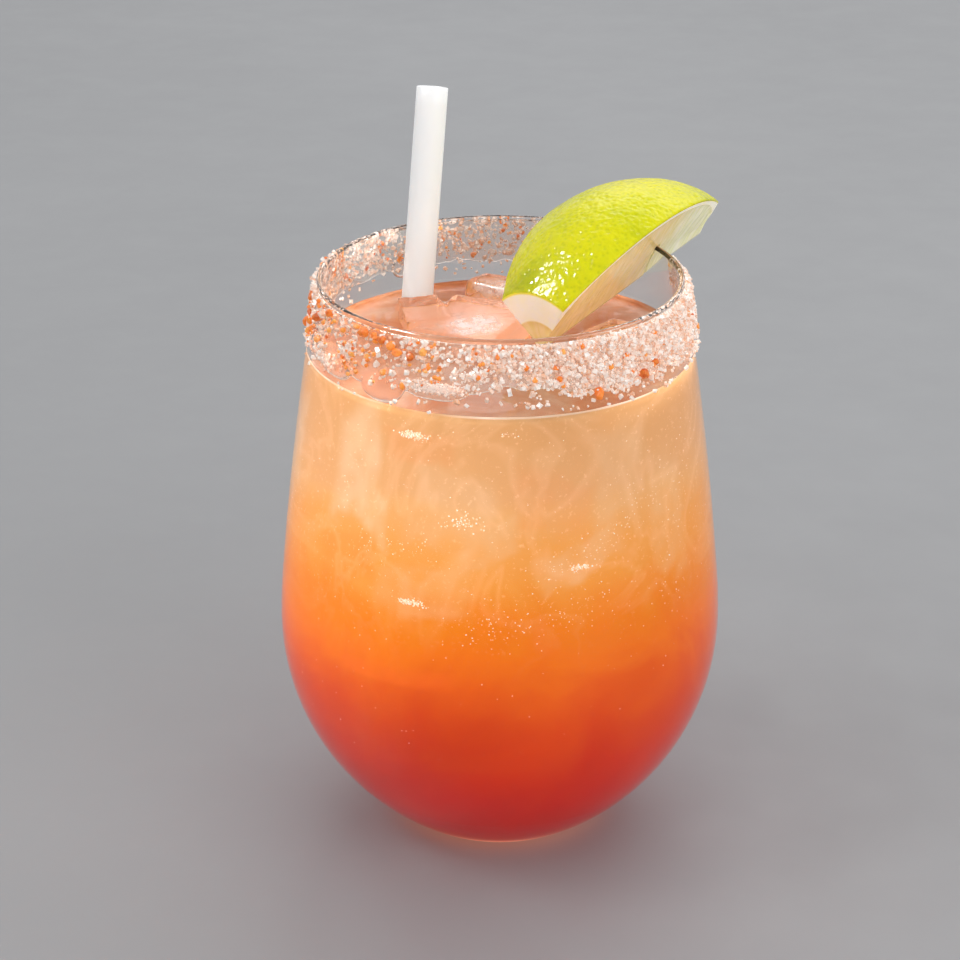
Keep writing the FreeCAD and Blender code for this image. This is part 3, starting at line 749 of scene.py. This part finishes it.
def melt(mesh, seed, depth):
    """Sinks a cube's faces unevenly, as ice melts, and never moves them out."""
    normals = [vertex.normal.copy() for vertex in mesh.vertices]
    for vertex, normal in zip(mesh.vertices, normals):
        x, y, z = vertex.co / MM
        sink = 0.5 + 0.5 * wobble(x, y, z, 9.0, seed)
        sink = 0.75 * sink + 0.25 * (0.5 + 0.5 * wobble(x, y, z, 3.0, seed + 4))
        vertex.co -= normal * (depth * sink * MM)


def frost_on(places, middle, seed):
    """A patch of frost on a cube's top, a little to its front."""
    bend = np.array([wobble(x, y, z, 4.0, seed) for x, y, z in places])
    x, y, z = places.T
    across = np.hypot(x - middle[0] - 1.0, (y - middle[1] + 4.5) * 1.3)
    top = z.max()
    return smooth_step(8.5, 3.5, across + 3.0 * bend) * smooth_step(top - 5.0, top - 1.0, z)


def make_ice(finish):
    """The cubes that break the surface, and the tools that make room for them in the drink."""
    tools = []
    for seed, node in enumerate(("ice_centre", "ice_back", "ice_right"), 1):
        mesh = even_mesh(node, voxel=0.55)
        melt(mesh, seed=seed * 7.3, depth=0.8)
        mesh.name = node + "_cube"
        mesh.materials.append(finish)
        mesh.polygons.foreach_set("use_smooth", [True] * len(mesh.polygons))
        adopt(add_object(node + "_cube", mesh), (node,))
        places = places_of(mesh)
        middle = (places.min(axis=0) + places.max(axis=0)) / 2
        set_values(mesh, "frost", frost_on(places, middle, seed))
        # The tool is a little smaller, so that no air gap shows between the ice and the drink.
        tool = add_object(node + "_tool", mesh.copy())
        centre = Vector(middle) * MM
        shrink = Matrix.Scale(0.985, 4)
        tool.matrix_world = Matrix.Translation(centre) @ shrink @ Matrix.Translation(-centre)
        tools.append(tool)
    return tools


# ---------------- the straw


def straw_axis():
    """The middles of the straw's two ends, and its radius."""
    places = places_of(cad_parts["straw"].data)
    middle = places.mean(axis=0)
    along = np.linalg.svd(places - middle, full_matrices=False)[2][0]
    along *= np.sign(along[2])
    reach = (places - middle) @ along
    foot = places[reach < reach.min() + 0.05].mean(axis=0)
    top = places[reach > reach.max() - 0.05].mean(axis=0)
    radius = np.linalg.norm(np.cross(places - foot, along), axis=1).max()
    return foot, top, radius


def make_straw(finish):
    """A thin-walled tube with softened ends."""
    foot, top, radius = straw_axis()
    bore, edge = radius - STRAW_WALL, 0.1
    length = float(np.linalg.norm(top - foot))
    section = [(bore + edge, 0.0), (radius - edge, 0.0), (radius, edge)]
    heights = np.linspace(edge, length - edge, 40)[1:]
    section += [(radius, height) for height in heights]
    section += [(radius - edge, length), (bore + edge, length), (bore, length - edge)]
    section += [(bore, height) for height in heights[::-1][1:]]
    section += [(bore, edge)]
    turn = np.array(Vector((0, 0, 1)).rotation_difference(Vector(top - foot)).to_matrix())
    points, faces = revolve_loop(section, 72)
    make_piece("straw_tube", foot + np.array(points) @ turn.T, faces, [finish], ("straw",))


def straw_at(height):
    foot, top, _ = straw_axis()
    share = (height - foot[2]) / (top[2] - foot[2])
    return foot + (top - foot) * share


# ---------------- the lime wedge


def lime_arc():
    """Where the peel's crown stands along the wedge, and the radius of its arc."""
    inner = LIME_RADIUS - LIME_INNER_END
    outer = LIME_RADIUS - LIME_OUTER_END
    spread = outer - inner
    half = inner * LIME_LENGTH
    rest = inner**2 * outer - inner * LIME_LENGTH**2 - inner * outer**2
    crown = (-half + math.sqrt(half**2 - spread * rest)) / spread
    return crown, (crown**2 + inner**2) / (2 * inner)


CROWN, PEEL_ARC = lime_arc()
CAP_RINGS = 16


def peel_radius(x):
    """From the lime's core to its peel, at a place along the wedge."""
    return LIME_RADIUS - PEEL_ARC + np.sqrt(PEEL_ARC**2 - (x - CROWN) ** 2)


def pith_depth(x):
    """How thick the peel and its white pith are: most at the trimmed ends."""
    return 1.5 + 5.0 * np.exp(-x / 2.2) + 3.0 * np.exp(-(LIME_LENGTH - x) / 2.0)


def lime_placement():
    """The wedge's start and its axes as rows, as the CAD model hangs it on the rim."""
    turn = Euler((0, 0, math.radians(LIME_HEADING))).to_matrix()
    turn = turn @ Euler((0, math.radians(-LIME_RISE), 0)).to_matrix()
    turn = turn @ Euler((math.radians(-LIME_ROLL), 0, 0)).to_matrix()
    azimuth = math.radians(LIME_AZIMUTH)
    reach = outside_radius(GLASS_TOP - 1.0) - WALL_THICKNESS / 2
    core = GLASS_TOP + SEAT_GAP - LIME_SLIT_DEPTH
    slit = Vector((reach * math.cos(azimuth), reach * math.sin(azimuth), core))
    start = slit - turn @ Vector((LIME_SLIT_PLACE, 0, 0))
    return np.array(start), np.array(turn).T


def peel_relief(along, across):
    """How far each place of the peel sinks, in millimetres: oil glands and soft lumps."""
    glands, band = 1500, 34.0
    pits = SCATTER.random((glands, 2)) * (LIME_LENGTH, band) - (0.0, band / 2)
    depth = SCATTER.uniform(0.05, 0.13, glands)
    width = SCATTER.uniform(0.30, 0.48, glands)
    sink = np.zeros(along.shape)
    for (x, y), deep, wide in zip(pits, depth, width):
        rows = np.abs(along[:, 0] - x) < 1.2
        away = (along[rows] - x) ** 2 + (across[rows] - y) ** 2
        sink[rows] += deep * np.exp(-away / wide**2)
    lumps = [[wobble(a, b, 0, 7.0) for a, b in zip(*row)] for row in zip(along, across)]
    return sink + 0.22 * (0.5 + 0.5 * np.array(lumps))


def flesh_relief(x, r, side):
    """How far the flesh sinks: juice sacs that point from the core to the peel."""
    lean = x + 0.25 * r * side
    sacs = abs(wobble(lean, r * 0.22, side, 1.1)) + 0.5 * abs(wobble(lean, r * 0.3, side, 0.6, 9))
    sunk = smooth_step(0.0, 1.2, peel_radius(x) - r - pith_depth(x))
    sunk *= smooth_step(0.5, 4.0, r)
    return float(0.05 + sunk * (0.15 + 0.22 * sacs + 0.15 * wobble(x, r, side, 7.0)))


def lime_sections():
    """Closed sections along the wedge, and which points of a section are peel."""
    half = math.radians(LIME_ANGLE / 2)
    rows, sides, arc = 250, 34, 150
    xs = np.linspace(0, LIME_LENGTH, rows)
    angles = np.linspace(-half, half, arc)
    along = np.repeat(xs[:, None], arc, 1)
    radius = peel_radius(along)
    sink = peel_relief(along, radius * angles)
    edge = np.clip(1 - (half - np.abs(angles)) * radius / 0.45, 0, 1)
    skin = radius - sink * (edge < 1) - 0.45 * (1 - np.sqrt(1 - edge**2))
    points = np.zeros((rows, 2 * sides + arc, 3))
    points[:, :, 0] = xs[:, None]
    points[:, sides : sides + arc, 1] = skin * np.sin(angles)
    points[:, sides : sides + arc, 2] = skin * np.cos(angles)
    for row, x in enumerate(xs):
        reach = np.linspace(0.5, peel_radius(x) - 0.5, sides)
        for step, r in enumerate(reach):
            for side, column in ((-1, step), (1, 2 * sides + arc - 1 - step)):
                sink_here = flesh_relief(x, r, side)
                across = side * (r * math.sin(half) - sink_here * math.cos(half))
                points[row, column, 1:] = across, r * math.cos(half) + sink_here * math.sin(half)
    return points, sides, arc


def lime_cap(section, inward):
    """Rings of points that close an end of the wedge, from its section to the middle."""
    middle = section.mean(axis=0)
    points = []
    for ring in range(1, CAP_RINGS):
        for spot in section:
            place = spot + (middle - spot) * ring / CAP_RINGS
            sink = flesh_relief(place[0], math.hypot(place[1], place[2]), inward)
            points.append(place + (inward * (sink - 0.05), 0, 0))
    points.append(middle + (0.2 * inward, 0, 0))
    return points


def make_lime():
    """The wedge, with pored peel, pith and flesh, hung over the rim by its slit."""
    sections, sides, arc = lime_sections()
    rows, count = sections.shape[:2]
    points = list(sections.reshape(-1, 3))
    faces = [face[::-1] for face in grid_faces(rows, count, closed=True)]
    peel = [int(sides <= index % count < sides + arc - 1) for index in range(len(faces))]
    for section, start, inward in ((sections[0], 0, 1), (sections[-1], (rows - 1) * count, -1)):
        cap = lime_cap(section, inward)
        ids = list(range(start, start + count)) + list(range(len(points), len(points) + len(cap)))
        points += cap
        grid = grid_faces(CAP_RINGS, count, closed=True)
        last = (CAP_RINGS - 1) * count
        grid += [(last + i, last + (i + 1) % count, last + count) for i in range(count)]
        for face in grid:
            face = tuple(ids[i] for i in face)
            faces.append(face if inward > 0 else face[::-1])
            peel.append(0)
    start, axes = lime_placement()
    world = start + np.array(points) @ axes
    finishes = [flesh_finish(), peel_finish()]
    lime = make_piece("lime", world, faces, finishes, ("lime_wedge",), face_slots=peel)
    carve(lime, [rim_tool()])
    local = (places_of(lime.data) - start) @ axes.T
    reach = np.hypot(local[:, 1], local[:, 2])
    depth = peel_radius(np.clip(local[:, 0], 0, LIME_LENGTH)) - reach
    set_values(lime.data, "peel_depth", depth)
    set_values(lime.data, "past_pith", depth - pith_depth(local[:, 0]))
    angle = np.arctan2(local[:, 1], local[:, 2])
    set_vectors(lime.data, "sac_place", np.c_[local[:, 0] + 0.25 * reach * np.sign(angle), reach, angle])


def rim_tool():
    """The room for the rim in the wedge: the wall and lip with a gap all round."""
    high = GLASS_TOP + SEAT_GAP
    heights = np.linspace(DRINK_LEVEL, high - 1.0, 12)
    outer = [(outside_radius(z) + SEAT_GAP, z) for z in heights]
    inner = [(outside_radius(z) - WALL_THICKNESS - SEAT_GAP, z) for z in heights]
    outer.append((outer[-1][0] - 0.35, high))
    inner.append((inner[-1][0] + 0.35, high))
    points, faces = revolve_loop(outer + inner[::-1], 240)
    mesh = bpy.data.meshes.new("rim_tool")
    mesh.from_pydata((np.array(points) * MM).tolist(), [], faces)
    return add_object("rim_tool", mesh)


# ---------------- salt, spice and bubbles

# Round the rim by azimuth: how much of the glass the salt covers, and where its lower edge is.
SALT_ROUND = (
    (-180.0, 0.34, 108.0),
    (-160.0, 0.26, 107.5),
    (-145.0, 0.16, 108.0),
    (-125.0, 0.18, 108.5),
    (-112.0, 0.30, 109.0),
    (-98.0, 0.44, 110.0),
    (-88.0, 0.55, 111.5),
    (-78.0, 0.70, 110.5),
    (-62.0, 0.95, 109.5),
    (-45.0, 1.00, 109.0),
    (-28.0, 1.00, 108.8),
    (-12.0, 0.95, 108.5),
    (5.0, 0.80, 108.5),
    (19.0, 0.55, 109.0),
    (55.0, 0.45, 109.0),
    (90.0, 0.36, 109.5),
    (125.0, 0.36, 110.0),
    (155.0, 0.45, 109.0),
    (180.0, 0.40, 108.0),
)
# Wet lobes that run down from the rim: azimuth, half width in degrees, lowest point and bulge.
DRIPS = (
    (-145.5, 7.0, 106.7, 1.0),
    (-126.0, 7.5, 105.6, 0.9),
    (-107.0, 8.0, 108.0, 0.5),
    (-161.0, 5.0, 108.2, 0.6),
    (120.0, 7.0, 107.5, 0.8),
    (168.0, 6.0, 107.0, 0.9),
)
# Pasty white salt: azimuth, height, half width in degrees and half height in millimetres.
SMEARS = (
    (-109.0, 110.6, 9.0, 0.9),
    (-153.0, 109.3, 5.0, 0.8),
    (-67.0, 109.2, 3.0, 0.5),
    (-52.0, 109.0, 3.5, 0.6),
    (-140.0, 113.5, 3.0, 1.2),
)
SALT_TOP = GLASS_TOP - 0.9


def at_azimuth(azimuth, radius, height):
    """Points at azimuths in degrees, radii and heights."""
    angle = np.radians(azimuth)
    return np.stack([radius * np.cos(angle), radius * np.sin(angle), height], axis=-1)


def on_wall(azimuth, height, out):
    """Points at azimuths in degrees and heights, out from the glass's outside."""
    return at_azimuth(azimuth, outside_radius(height) + out, height)


def round_rim(azimuth):
    """Millimetres round the rim from azimuth 0, near enough for the size of clumps."""
    usual_radius = 38
    return math.radians(azimuth) * usual_radius


def salt_cover(azimuth):
    where, cover, _ = np.array(SALT_ROUND).T
    return np.interp(azimuth, where, cover)


def salt_bottom(azimuth):
    where, _, bottom = np.array(SALT_ROUND).T
    return np.interp(azimuth, where, bottom)


def lime_covers(azimuth, margin):
    return np.abs(azimuth - LIME_AZIMUTH) < margin


def random_turns(count):
    """Evenly spread random rotations as matrices."""
    turns = SCATTER.normal(size=(4, count))
    w, x, y, z = turns / np.linalg.norm(turns, axis=0)
    rows = (
        (1 - 2 * (y * y + z * z), 2 * (x * y - z * w), 2 * (x * z + y * w)),
        (2 * (x * y + z * w), 1 - 2 * (x * x + z * z), 2 * (y * z - x * w)),
        (2 * (x * z - y * w), 2 * (y * z + x * w), 1 - 2 * (x * x + y * y)),
    )
    return np.moveaxis(np.array(rows), 2, 0)


def ball(detail):
    """Points and faces of a round ball of radius 1."""
    mesh = bmesh.new()
    bmesh.ops.create_icosphere(mesh, subdivisions=detail, radius=1.0)
    points = np.array([vertex.co for vertex in mesh.verts])
    faces = [tuple(vertex.index for vertex in face.verts) for face in mesh.faces]
    mesh.free()
    return points, faces


def crystal():
    """Points and faces of a cube with a half side of 1."""
    points = np.array([(x, y, z) for x in (-1, 1) for y in (-1, 1) for z in (-1, 1)], float)
    faces = [(0, 1, 3, 2), (4, 6, 7, 5), (0, 4, 5, 1), (2, 3, 7, 6), (0, 2, 6, 4), (1, 5, 7, 3)]
    return points, faces


def scatter(name, shape, places, sizes, rough, finish, smooth, replaces):
    """One mesh of many grains: a shape at each place, its corners uneven by the share rough."""
    shape_points, shape_faces = shape
    count, corners = len(places), len(shape_points)
    uneven = 1 + SCATTER.uniform(-rough, rough, (count, corners, 3))
    stretch = 1 + SCATTER.uniform(-1.4 * rough, 1.4 * rough, (count, 1, 3))
    grains = shape_points * uneven * stretch * np.asarray(sizes)[:, None, None]
    grains = np.einsum("nij,nkj->nki", random_turns(count), grains) + places[:, None, :]
    steps = np.arange(count) * corners
    faces = [tuple(int(step) + i for i in face) for step in steps for face in shape_faces]
    piece = make_piece(name, grains.reshape(-1, 3), faces, [finish], replaces, smooth)
    set_values(piece.data, "grain", np.repeat(SCATTER.random(count), corners))


def film_edge(azimuth):
    """The film's lower edge: uneven, and lower where a lobe runs down."""
    low = salt_bottom(azimuth) + 0.9 * wobble(azimuth, 0, 0, 9.0) + 0.4 * wobble(azimuth, 0, 3, 3.0)
    for middle, half, lowest, _ in DRIPS:
        share = from_middle(azimuth, middle) / half
        if abs(share) < 1:
            low = min(low, lowest + (low - lowest) * (1 - math.sqrt(1 - share**2)))
    return low


def film_at(azimuth, height):
    """The film's thickness at a place, and how white it is."""
    around = round_rim(azimuth)
    bumps = 0.5 + 0.5 * wobble(around, height, 0, 1.6) + 0.4 * wobble(around, height, 5, 0.7)
    thick = 0.12 + (0.10 + 0.38 * salt_cover(azimuth)) * max(bumps, 0)
    for middle, half, lowest, bulge in DRIPS:
        share = from_middle(azimuth, middle) / half
        rise = (height - lowest) / 4.5
        thick += bulge * max(1 - share**2, 0) ** 0.5 * math.exp(-((rise - 0.5) ** 2) * 2.5)
    pale = 0.0
    for middle, level, wide, tall in SMEARS:
        away = ((azimuth - middle) / wide) ** 2 + ((height - level) / tall) ** 2
        pale = max(pale, math.exp(-away * 1.2))
    clumps = 0.5 + 0.5 * wobble(around, height, 9, 3.5)
    white = max(pale, salt_cover(azimuth) ** 2 * (0.35 + 0.65 * clumps))
    return thick + 0.35 * pale, white


def shell_faces(rows, columns):
    """Faces of a closed shell: a grid of outer points, one of inner points and the strip between."""
    skin = grid_faces(rows, columns)
    shift = rows * columns
    faces = [face[::-1] for face in skin] + [tuple(i + shift for i in face) for face in skin]
    edge = list(range(columns)) + [row * columns + columns - 1 for row in range(1, rows)]
    edge += [(rows - 1) * columns + column for column in range(columns - 2, -1, -1)]
    edge += [row * columns for row in range(rows - 2, 0, -1)]
    faces += [(a, b, b + shift, a + shift) for a, b in zip(edge, edge[1:] + edge[:1])]
    return faces


def make_salt_film():
    """The thin wet layer that holds the salt, with lobes that run down the glass."""
    strips, steps = 560, 30
    azimuths = np.linspace(LIME_AZIMUTH + 17, LIME_AZIMUTH - 17 + 360, strips)
    outer, inner, white = [], [], []
    for strip, azimuth in enumerate(from_middle(azimuths, 0)):
        low = film_edge(azimuth)
        from_end = min(strip, strips - 1 - strip)
        for step in range(steps):
            height = low + (SALT_TOP - low) * step / (steps - 1)
            thick, pale = film_at(azimuth, height)
            # It thins out in a ragged line beside the lime, and roundly at its top and bottom.
            ragged = 9.0 + 9.0 * wobble(height, 0, 0, 1.8, 3.0)
            share = float(smooth_step(ragged - 5.0, ragged + 9.0, from_end))
            thick *= share * min(math.sqrt(min(step, steps - 1 - step) / 2.5), 1.0)
            outer.append(on_wall(azimuth, height, max(thick, 0.01)))
            inner.append(on_wall(azimuth, height, 0.0))
            white.append(share * pale)
    faces = shell_faces(strips, steps)
    film = make_piece("salt_film", outer + inner, faces, [film_finish()], ("salt_rim",))
    set_values(film.data, "white", white + white)


def salt_places(tries):
    """Random places in the salted band, denser where the salt covers more."""
    azimuth = SCATTER.uniform(-180, 180, tries)
    up = SCATTER.random(tries)
    bottom = salt_bottom(azimuth)
    ragged = np.array([wobble(a, 0, 0, 6.0, 2.0) + 0.6 * wobble(a, 0, 0, 2.0, 5.0) for a in azimuth])
    height = bottom + 1.3 * ragged + (SALT_TOP - 0.1 - bottom - 1.3 * ragged) * up**0.85
    stray = SCATTER.random(tries) < 0.05
    height = np.where(stray, bottom - 3.5 * SCATTER.random(tries) ** 2, height)
    clumps = [wobble(round_rim(a), z, 0, 2.6, 7.0) for a, z in zip(azimuth, height)]
    cover = salt_cover(azimuth)
    fade = smooth_step(0.0, 0.25, up + 0.1)
    keep = SCATTER.random(tries) < cover**1.3 * fade * (1.0 + 1.3 * np.array(clumps))
    ragged = np.array([wobble(z, 0, 0, 1.8, 3.0) for z in height])
    keep &= ~lime_covers(azimuth, 16.0 + 5.0 * ragged + 3.0 * SCATTER.random(tries))
    return azimuth[keep], height[keep], cover[keep]


def make_salt_crystals():
    azimuth, height, cover = salt_places(tries=15000)
    sizes = SCATTER.uniform(0.14, 0.36, len(azimuth)) * (0.8 + 0.4 * SCATTER.random(len(azimuth)))
    out = 0.12 + SCATTER.random(len(azimuth)) * (0.15 + 0.85 * cover)
    places = [on_wall(azimuth, height, out)]
    scales = [sizes]
    for middle, level, wide, tall in SMEARS:
        count = int(60 * wide * tall)
        spread = SCATTER.normal(size=(2, count)) * 0.55
        places.append(on_wall(middle + spread[0] * wide, level + spread[1] * tall, 0.45))
        scales.append(SCATTER.uniform(0.10, 0.22, count))
    places, scales = np.vstack(places), np.concatenate(scales)
    scatter("salt_crystals", crystal(), places, scales, 0.3, salt_finish(), False, ("salt_rim",))


# Large grains that stand out, as azimuth, height and radius.
BIG_SPICE = (
    (-133.9, 118.2, 0.95), (-126.7, 117.9, 0.75), (-123.3, 117.2, 0.80), (-121.1, 116.2, 0.95),
    (-112.7, 117.2, 0.70), (-116.7, 115.9, 0.80), (-125.3, 111.8, 0.75), (-118.6, 110.0, 0.60),
    (-61.5, 108.7, 1.15), (-57.0, 113.3, 0.70), (-45.3, 110.0, 0.95), (-40.0, 111.5, 0.75),
    (-96.2, 113.3, 0.60), (-73.2, 112.7, 0.55), (-152.0, 118.6, 0.80), (-160.0, 116.0, 0.95),
    (-168.0, 113.5, 0.85), (-158.0, 112.0, 0.70), (-172.0, 117.5, 0.90), (-4.0, 110.2, 0.90),
    (-12.0, 114.5, 0.60), (-143.0, 117.0, 0.70), (-137.0, 118.8, 0.65), (-176.0, 111.0, 0.80),
)


# How thick the spice lies round the rim, by azimuth.
SPICE_ROUND = (
    (-180, 1.0), (-150, 0.9), (-115, 0.9), (-95, 0.35), (-60, 0.30),
    (0, 0.25), (60, 0.5), (100, 0.7), (140, 1.0), (180, 1.0),
)


def make_spice():
    """Coarse orange grains of spice among the salt."""
    tries = 1500
    where, weight = np.array(SPICE_ROUND).T
    azimuth = SCATTER.uniform(-180, 180, tries)
    bottom = salt_bottom(azimuth)
    height = bottom + 0.8 + (SALT_TOP - 0.9 - bottom) * SCATTER.random(tries)
    clumps = np.array([wobble(round_rim(a), z, 0, 5.0, 3.0) for a, z in zip(azimuth, height)])
    chance = np.interp(azimuth, where, weight) * (0.35 + 1.2 * clumps)
    keep = (SCATTER.random(tries) < chance) & ~lime_covers(azimuth, 15.0)
    sizes = SCATTER.uniform(0.18, 0.55, keep.sum())
    big = np.array(BIG_SPICE)
    places = np.vstack([
        on_wall(azimuth[keep], height[keep], 0.3 + 0.4 * SCATTER.random(keep.sum())),
        on_wall(big[:, 0], big[:, 1], 0.7),
    ])
    sizes = np.concatenate([sizes, big[:, 2]])
    scatter("spice", ball(2), places, sizes, 0.20, spice_finish(), False, ("salt_rim",))


# Strings of small bubbles: azimuth and height of both ends, spread in millimetres and count.
BUBBLE_BANDS = (
    (-78.0, 73.0, -52.0, 81.0, 1.6, 480),
    (-100.0, 62.0, -60.0, 67.0, 2.4, 520),
    (-42.0, 60.0, -28.0, 96.0, 2.4, 420),
    (-138.0, 78.0, -133.0, 97.0, 1.0, 150),
    (-128.0, 76.0, -105.0, 79.0, 1.6, 220),
    (-60.0, 88.0, -40.0, 84.0, 1.8, 200),
    (40.0, 60.0, 120.0, 90.0, 6.0, 400),
    (150.0, 55.0, 200.0, 85.0, 6.0, 400),
)
# Patches of white froth: azimuth, height, half width in degrees, half height and count.
FROTH = (
    (-115.0, 100.2, 4.8, 0.7, 220),
    (-113.5, 66.6, 4.2, 0.7, 180),
    (-68.5, 74.2, 3.2, 0.6, 120),
    (-88.0, 101.8, 3.0, 0.9, 14),
    (-100.0, 84.0, 5.0, 1.8, 90),
    (100.0, 95.0, 6.0, 0.8, 120),
)


def make_bubbles():
    """Bubbles that cling to the glass under the surface, and patches of froth."""
    loose, lowest, band = 3600, 30, 73
    azimuth = [SCATTER.uniform(-180, 180, loose)]
    height = [lowest + band * SCATTER.random(loose) ** 0.6]
    sizes = [0.09 + 0.16 * SCATTER.random(loose) ** 2]
    for start, low, end, high, spread, count in BUBBLE_BANDS:
        share = SCATTER.random(count)
        azimuth.append(start + (end - start) * share + SCATTER.normal(size=count) * spread * 1.5)
        height.append(low + (high - low) * share + SCATTER.normal(size=count) * spread)
        sizes.append(0.09 + 0.18 * SCATTER.random(count) ** 2)
    for middle, level, wide, tall, count in FROTH:
        azimuth.append(middle + SCATTER.normal(size=count) * wide * 0.5)
        height.append(level + SCATTER.normal(size=count) * tall * 0.5)
        sizes.append(SCATTER.uniform(0.14, 0.34, count))
    azimuth, height, sizes = (np.concatenate(values) for values in (azimuth, height, sizes))
    height = np.minimum(height, DRINK_LEVEL - 0.8)
    places = at_azimuth(azimuth, inside_radius(height) - 0.25 * sizes, height)
    scatter("bubbles", ball(1), places, sizes, 0.0, bubble_finish(), True, ("drink",))


# ---------------- floor, light and camera


def make_floor():
    finish = Finish("floor", Roughness=0.55)
    finish.set("Base Color", finish.patches(3.0, (0.29, 0.292, 0.298), (0.325, 0.327, 0.333), 4.0))
    finish.roughen(40.0, 0.5, 0.65)
    mesh = bpy.data.meshes.new("floor")
    side = 3.0
    corners = [(-side, -side, 0), (side, -side, 0), (side, side, 0), (-side, side, 0)]
    mesh.from_pydata(corners, [], [(0, 1, 2, 3)])
    mesh.materials.append(finish.material)
    add_object("floor", mesh)


def add_lamp(name, place, target, width, height, power, colour):
    """A soft rectangular lamp; place and target are in metres."""
    data = bpy.data.lights.new(name, "AREA")
    data.shape = "RECTANGLE"
    data.size, data.size_y = width, height
    data.energy = power
    data.color = colour
    lamp = add_object(name, data)
    lamp.location = place
    lamp.rotation_euler = (Vector(target) - Vector(place)).to_track_quat("-Z", "Y").to_euler()
    return lamp


def add_light():
    world = bpy.data.worlds.new("studio")
    bpy.context.scene.world = world
    world.use_nodes = True
    background = world.node_tree.nodes["Background"]
    background.inputs["Color"].default_value = (0.97, 0.98, 1.0, 1.0)
    background.inputs["Strength"].default_value = 0.80
    middle = (0.0, 0.0, 0.07)
    add_lamp("key", (-0.75, -0.35, 0.85), middle, 0.6, 0.6, 0.9, (1.0, 0.99, 0.97))
    add_lamp("back", (0.35, 0.95, 0.95), middle, 1.2, 0.8, 4.0, (1.0, 1.0, 1.0))
    add_lamp("fill", (0.8, -0.7, 0.6), middle, 0.7, 0.7, 3.7, (1.0, 1.0, 1.0))
    glint = add_lamp("glint", (-0.72, -0.12, 0.98), middle, 0.3, 0.3, 26.0, (1.0, 1.0, 1.0))
    glint.visible_diffuse = False


def add_camera():
    data = bpy.data.cameras.new("camera")
    data.lens = CAMERA_LENS
    data.sensor_width = 36.0
    camera = add_object("camera", data)
    camera.location = (0.0, -CAMERA_DISTANCE * MM, CAMERA_HEIGHT * MM)
    camera.rotation_euler = (math.radians(90 - CAMERA_TILT), 0.0, math.radians(CAMERA_TURN))
    bpy.context.scene.camera = camera


def set_quality():
    scene = bpy.context.scene
    scene.view_settings.view_transform = "Standard"
    scene.cycles.use_denoising = True
    scene.cycles.max_bounces = 12
    scene.cycles.transmission_bounces = 12
    scene.cycles.transparent_max_bounces = 16
    scene.cycles.sample_clamp_indirect = 6.0
    scene.cycles.blur_glossy = 0.5


# ---------------- the whole


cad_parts["glass"].data.materials[0] = glass_finish()
drink = make_drink(straw_at(DRINK_LEVEL))
carve(drink, make_ice(ice_finish()))
mark_ice_hollows(drink)
make_straw(straw_finish())
make_lime()
make_salt_film()
make_salt_crystals()
make_spice()
make_bubbles()
make_floor()
add_light()
add_camera()
set_quality()
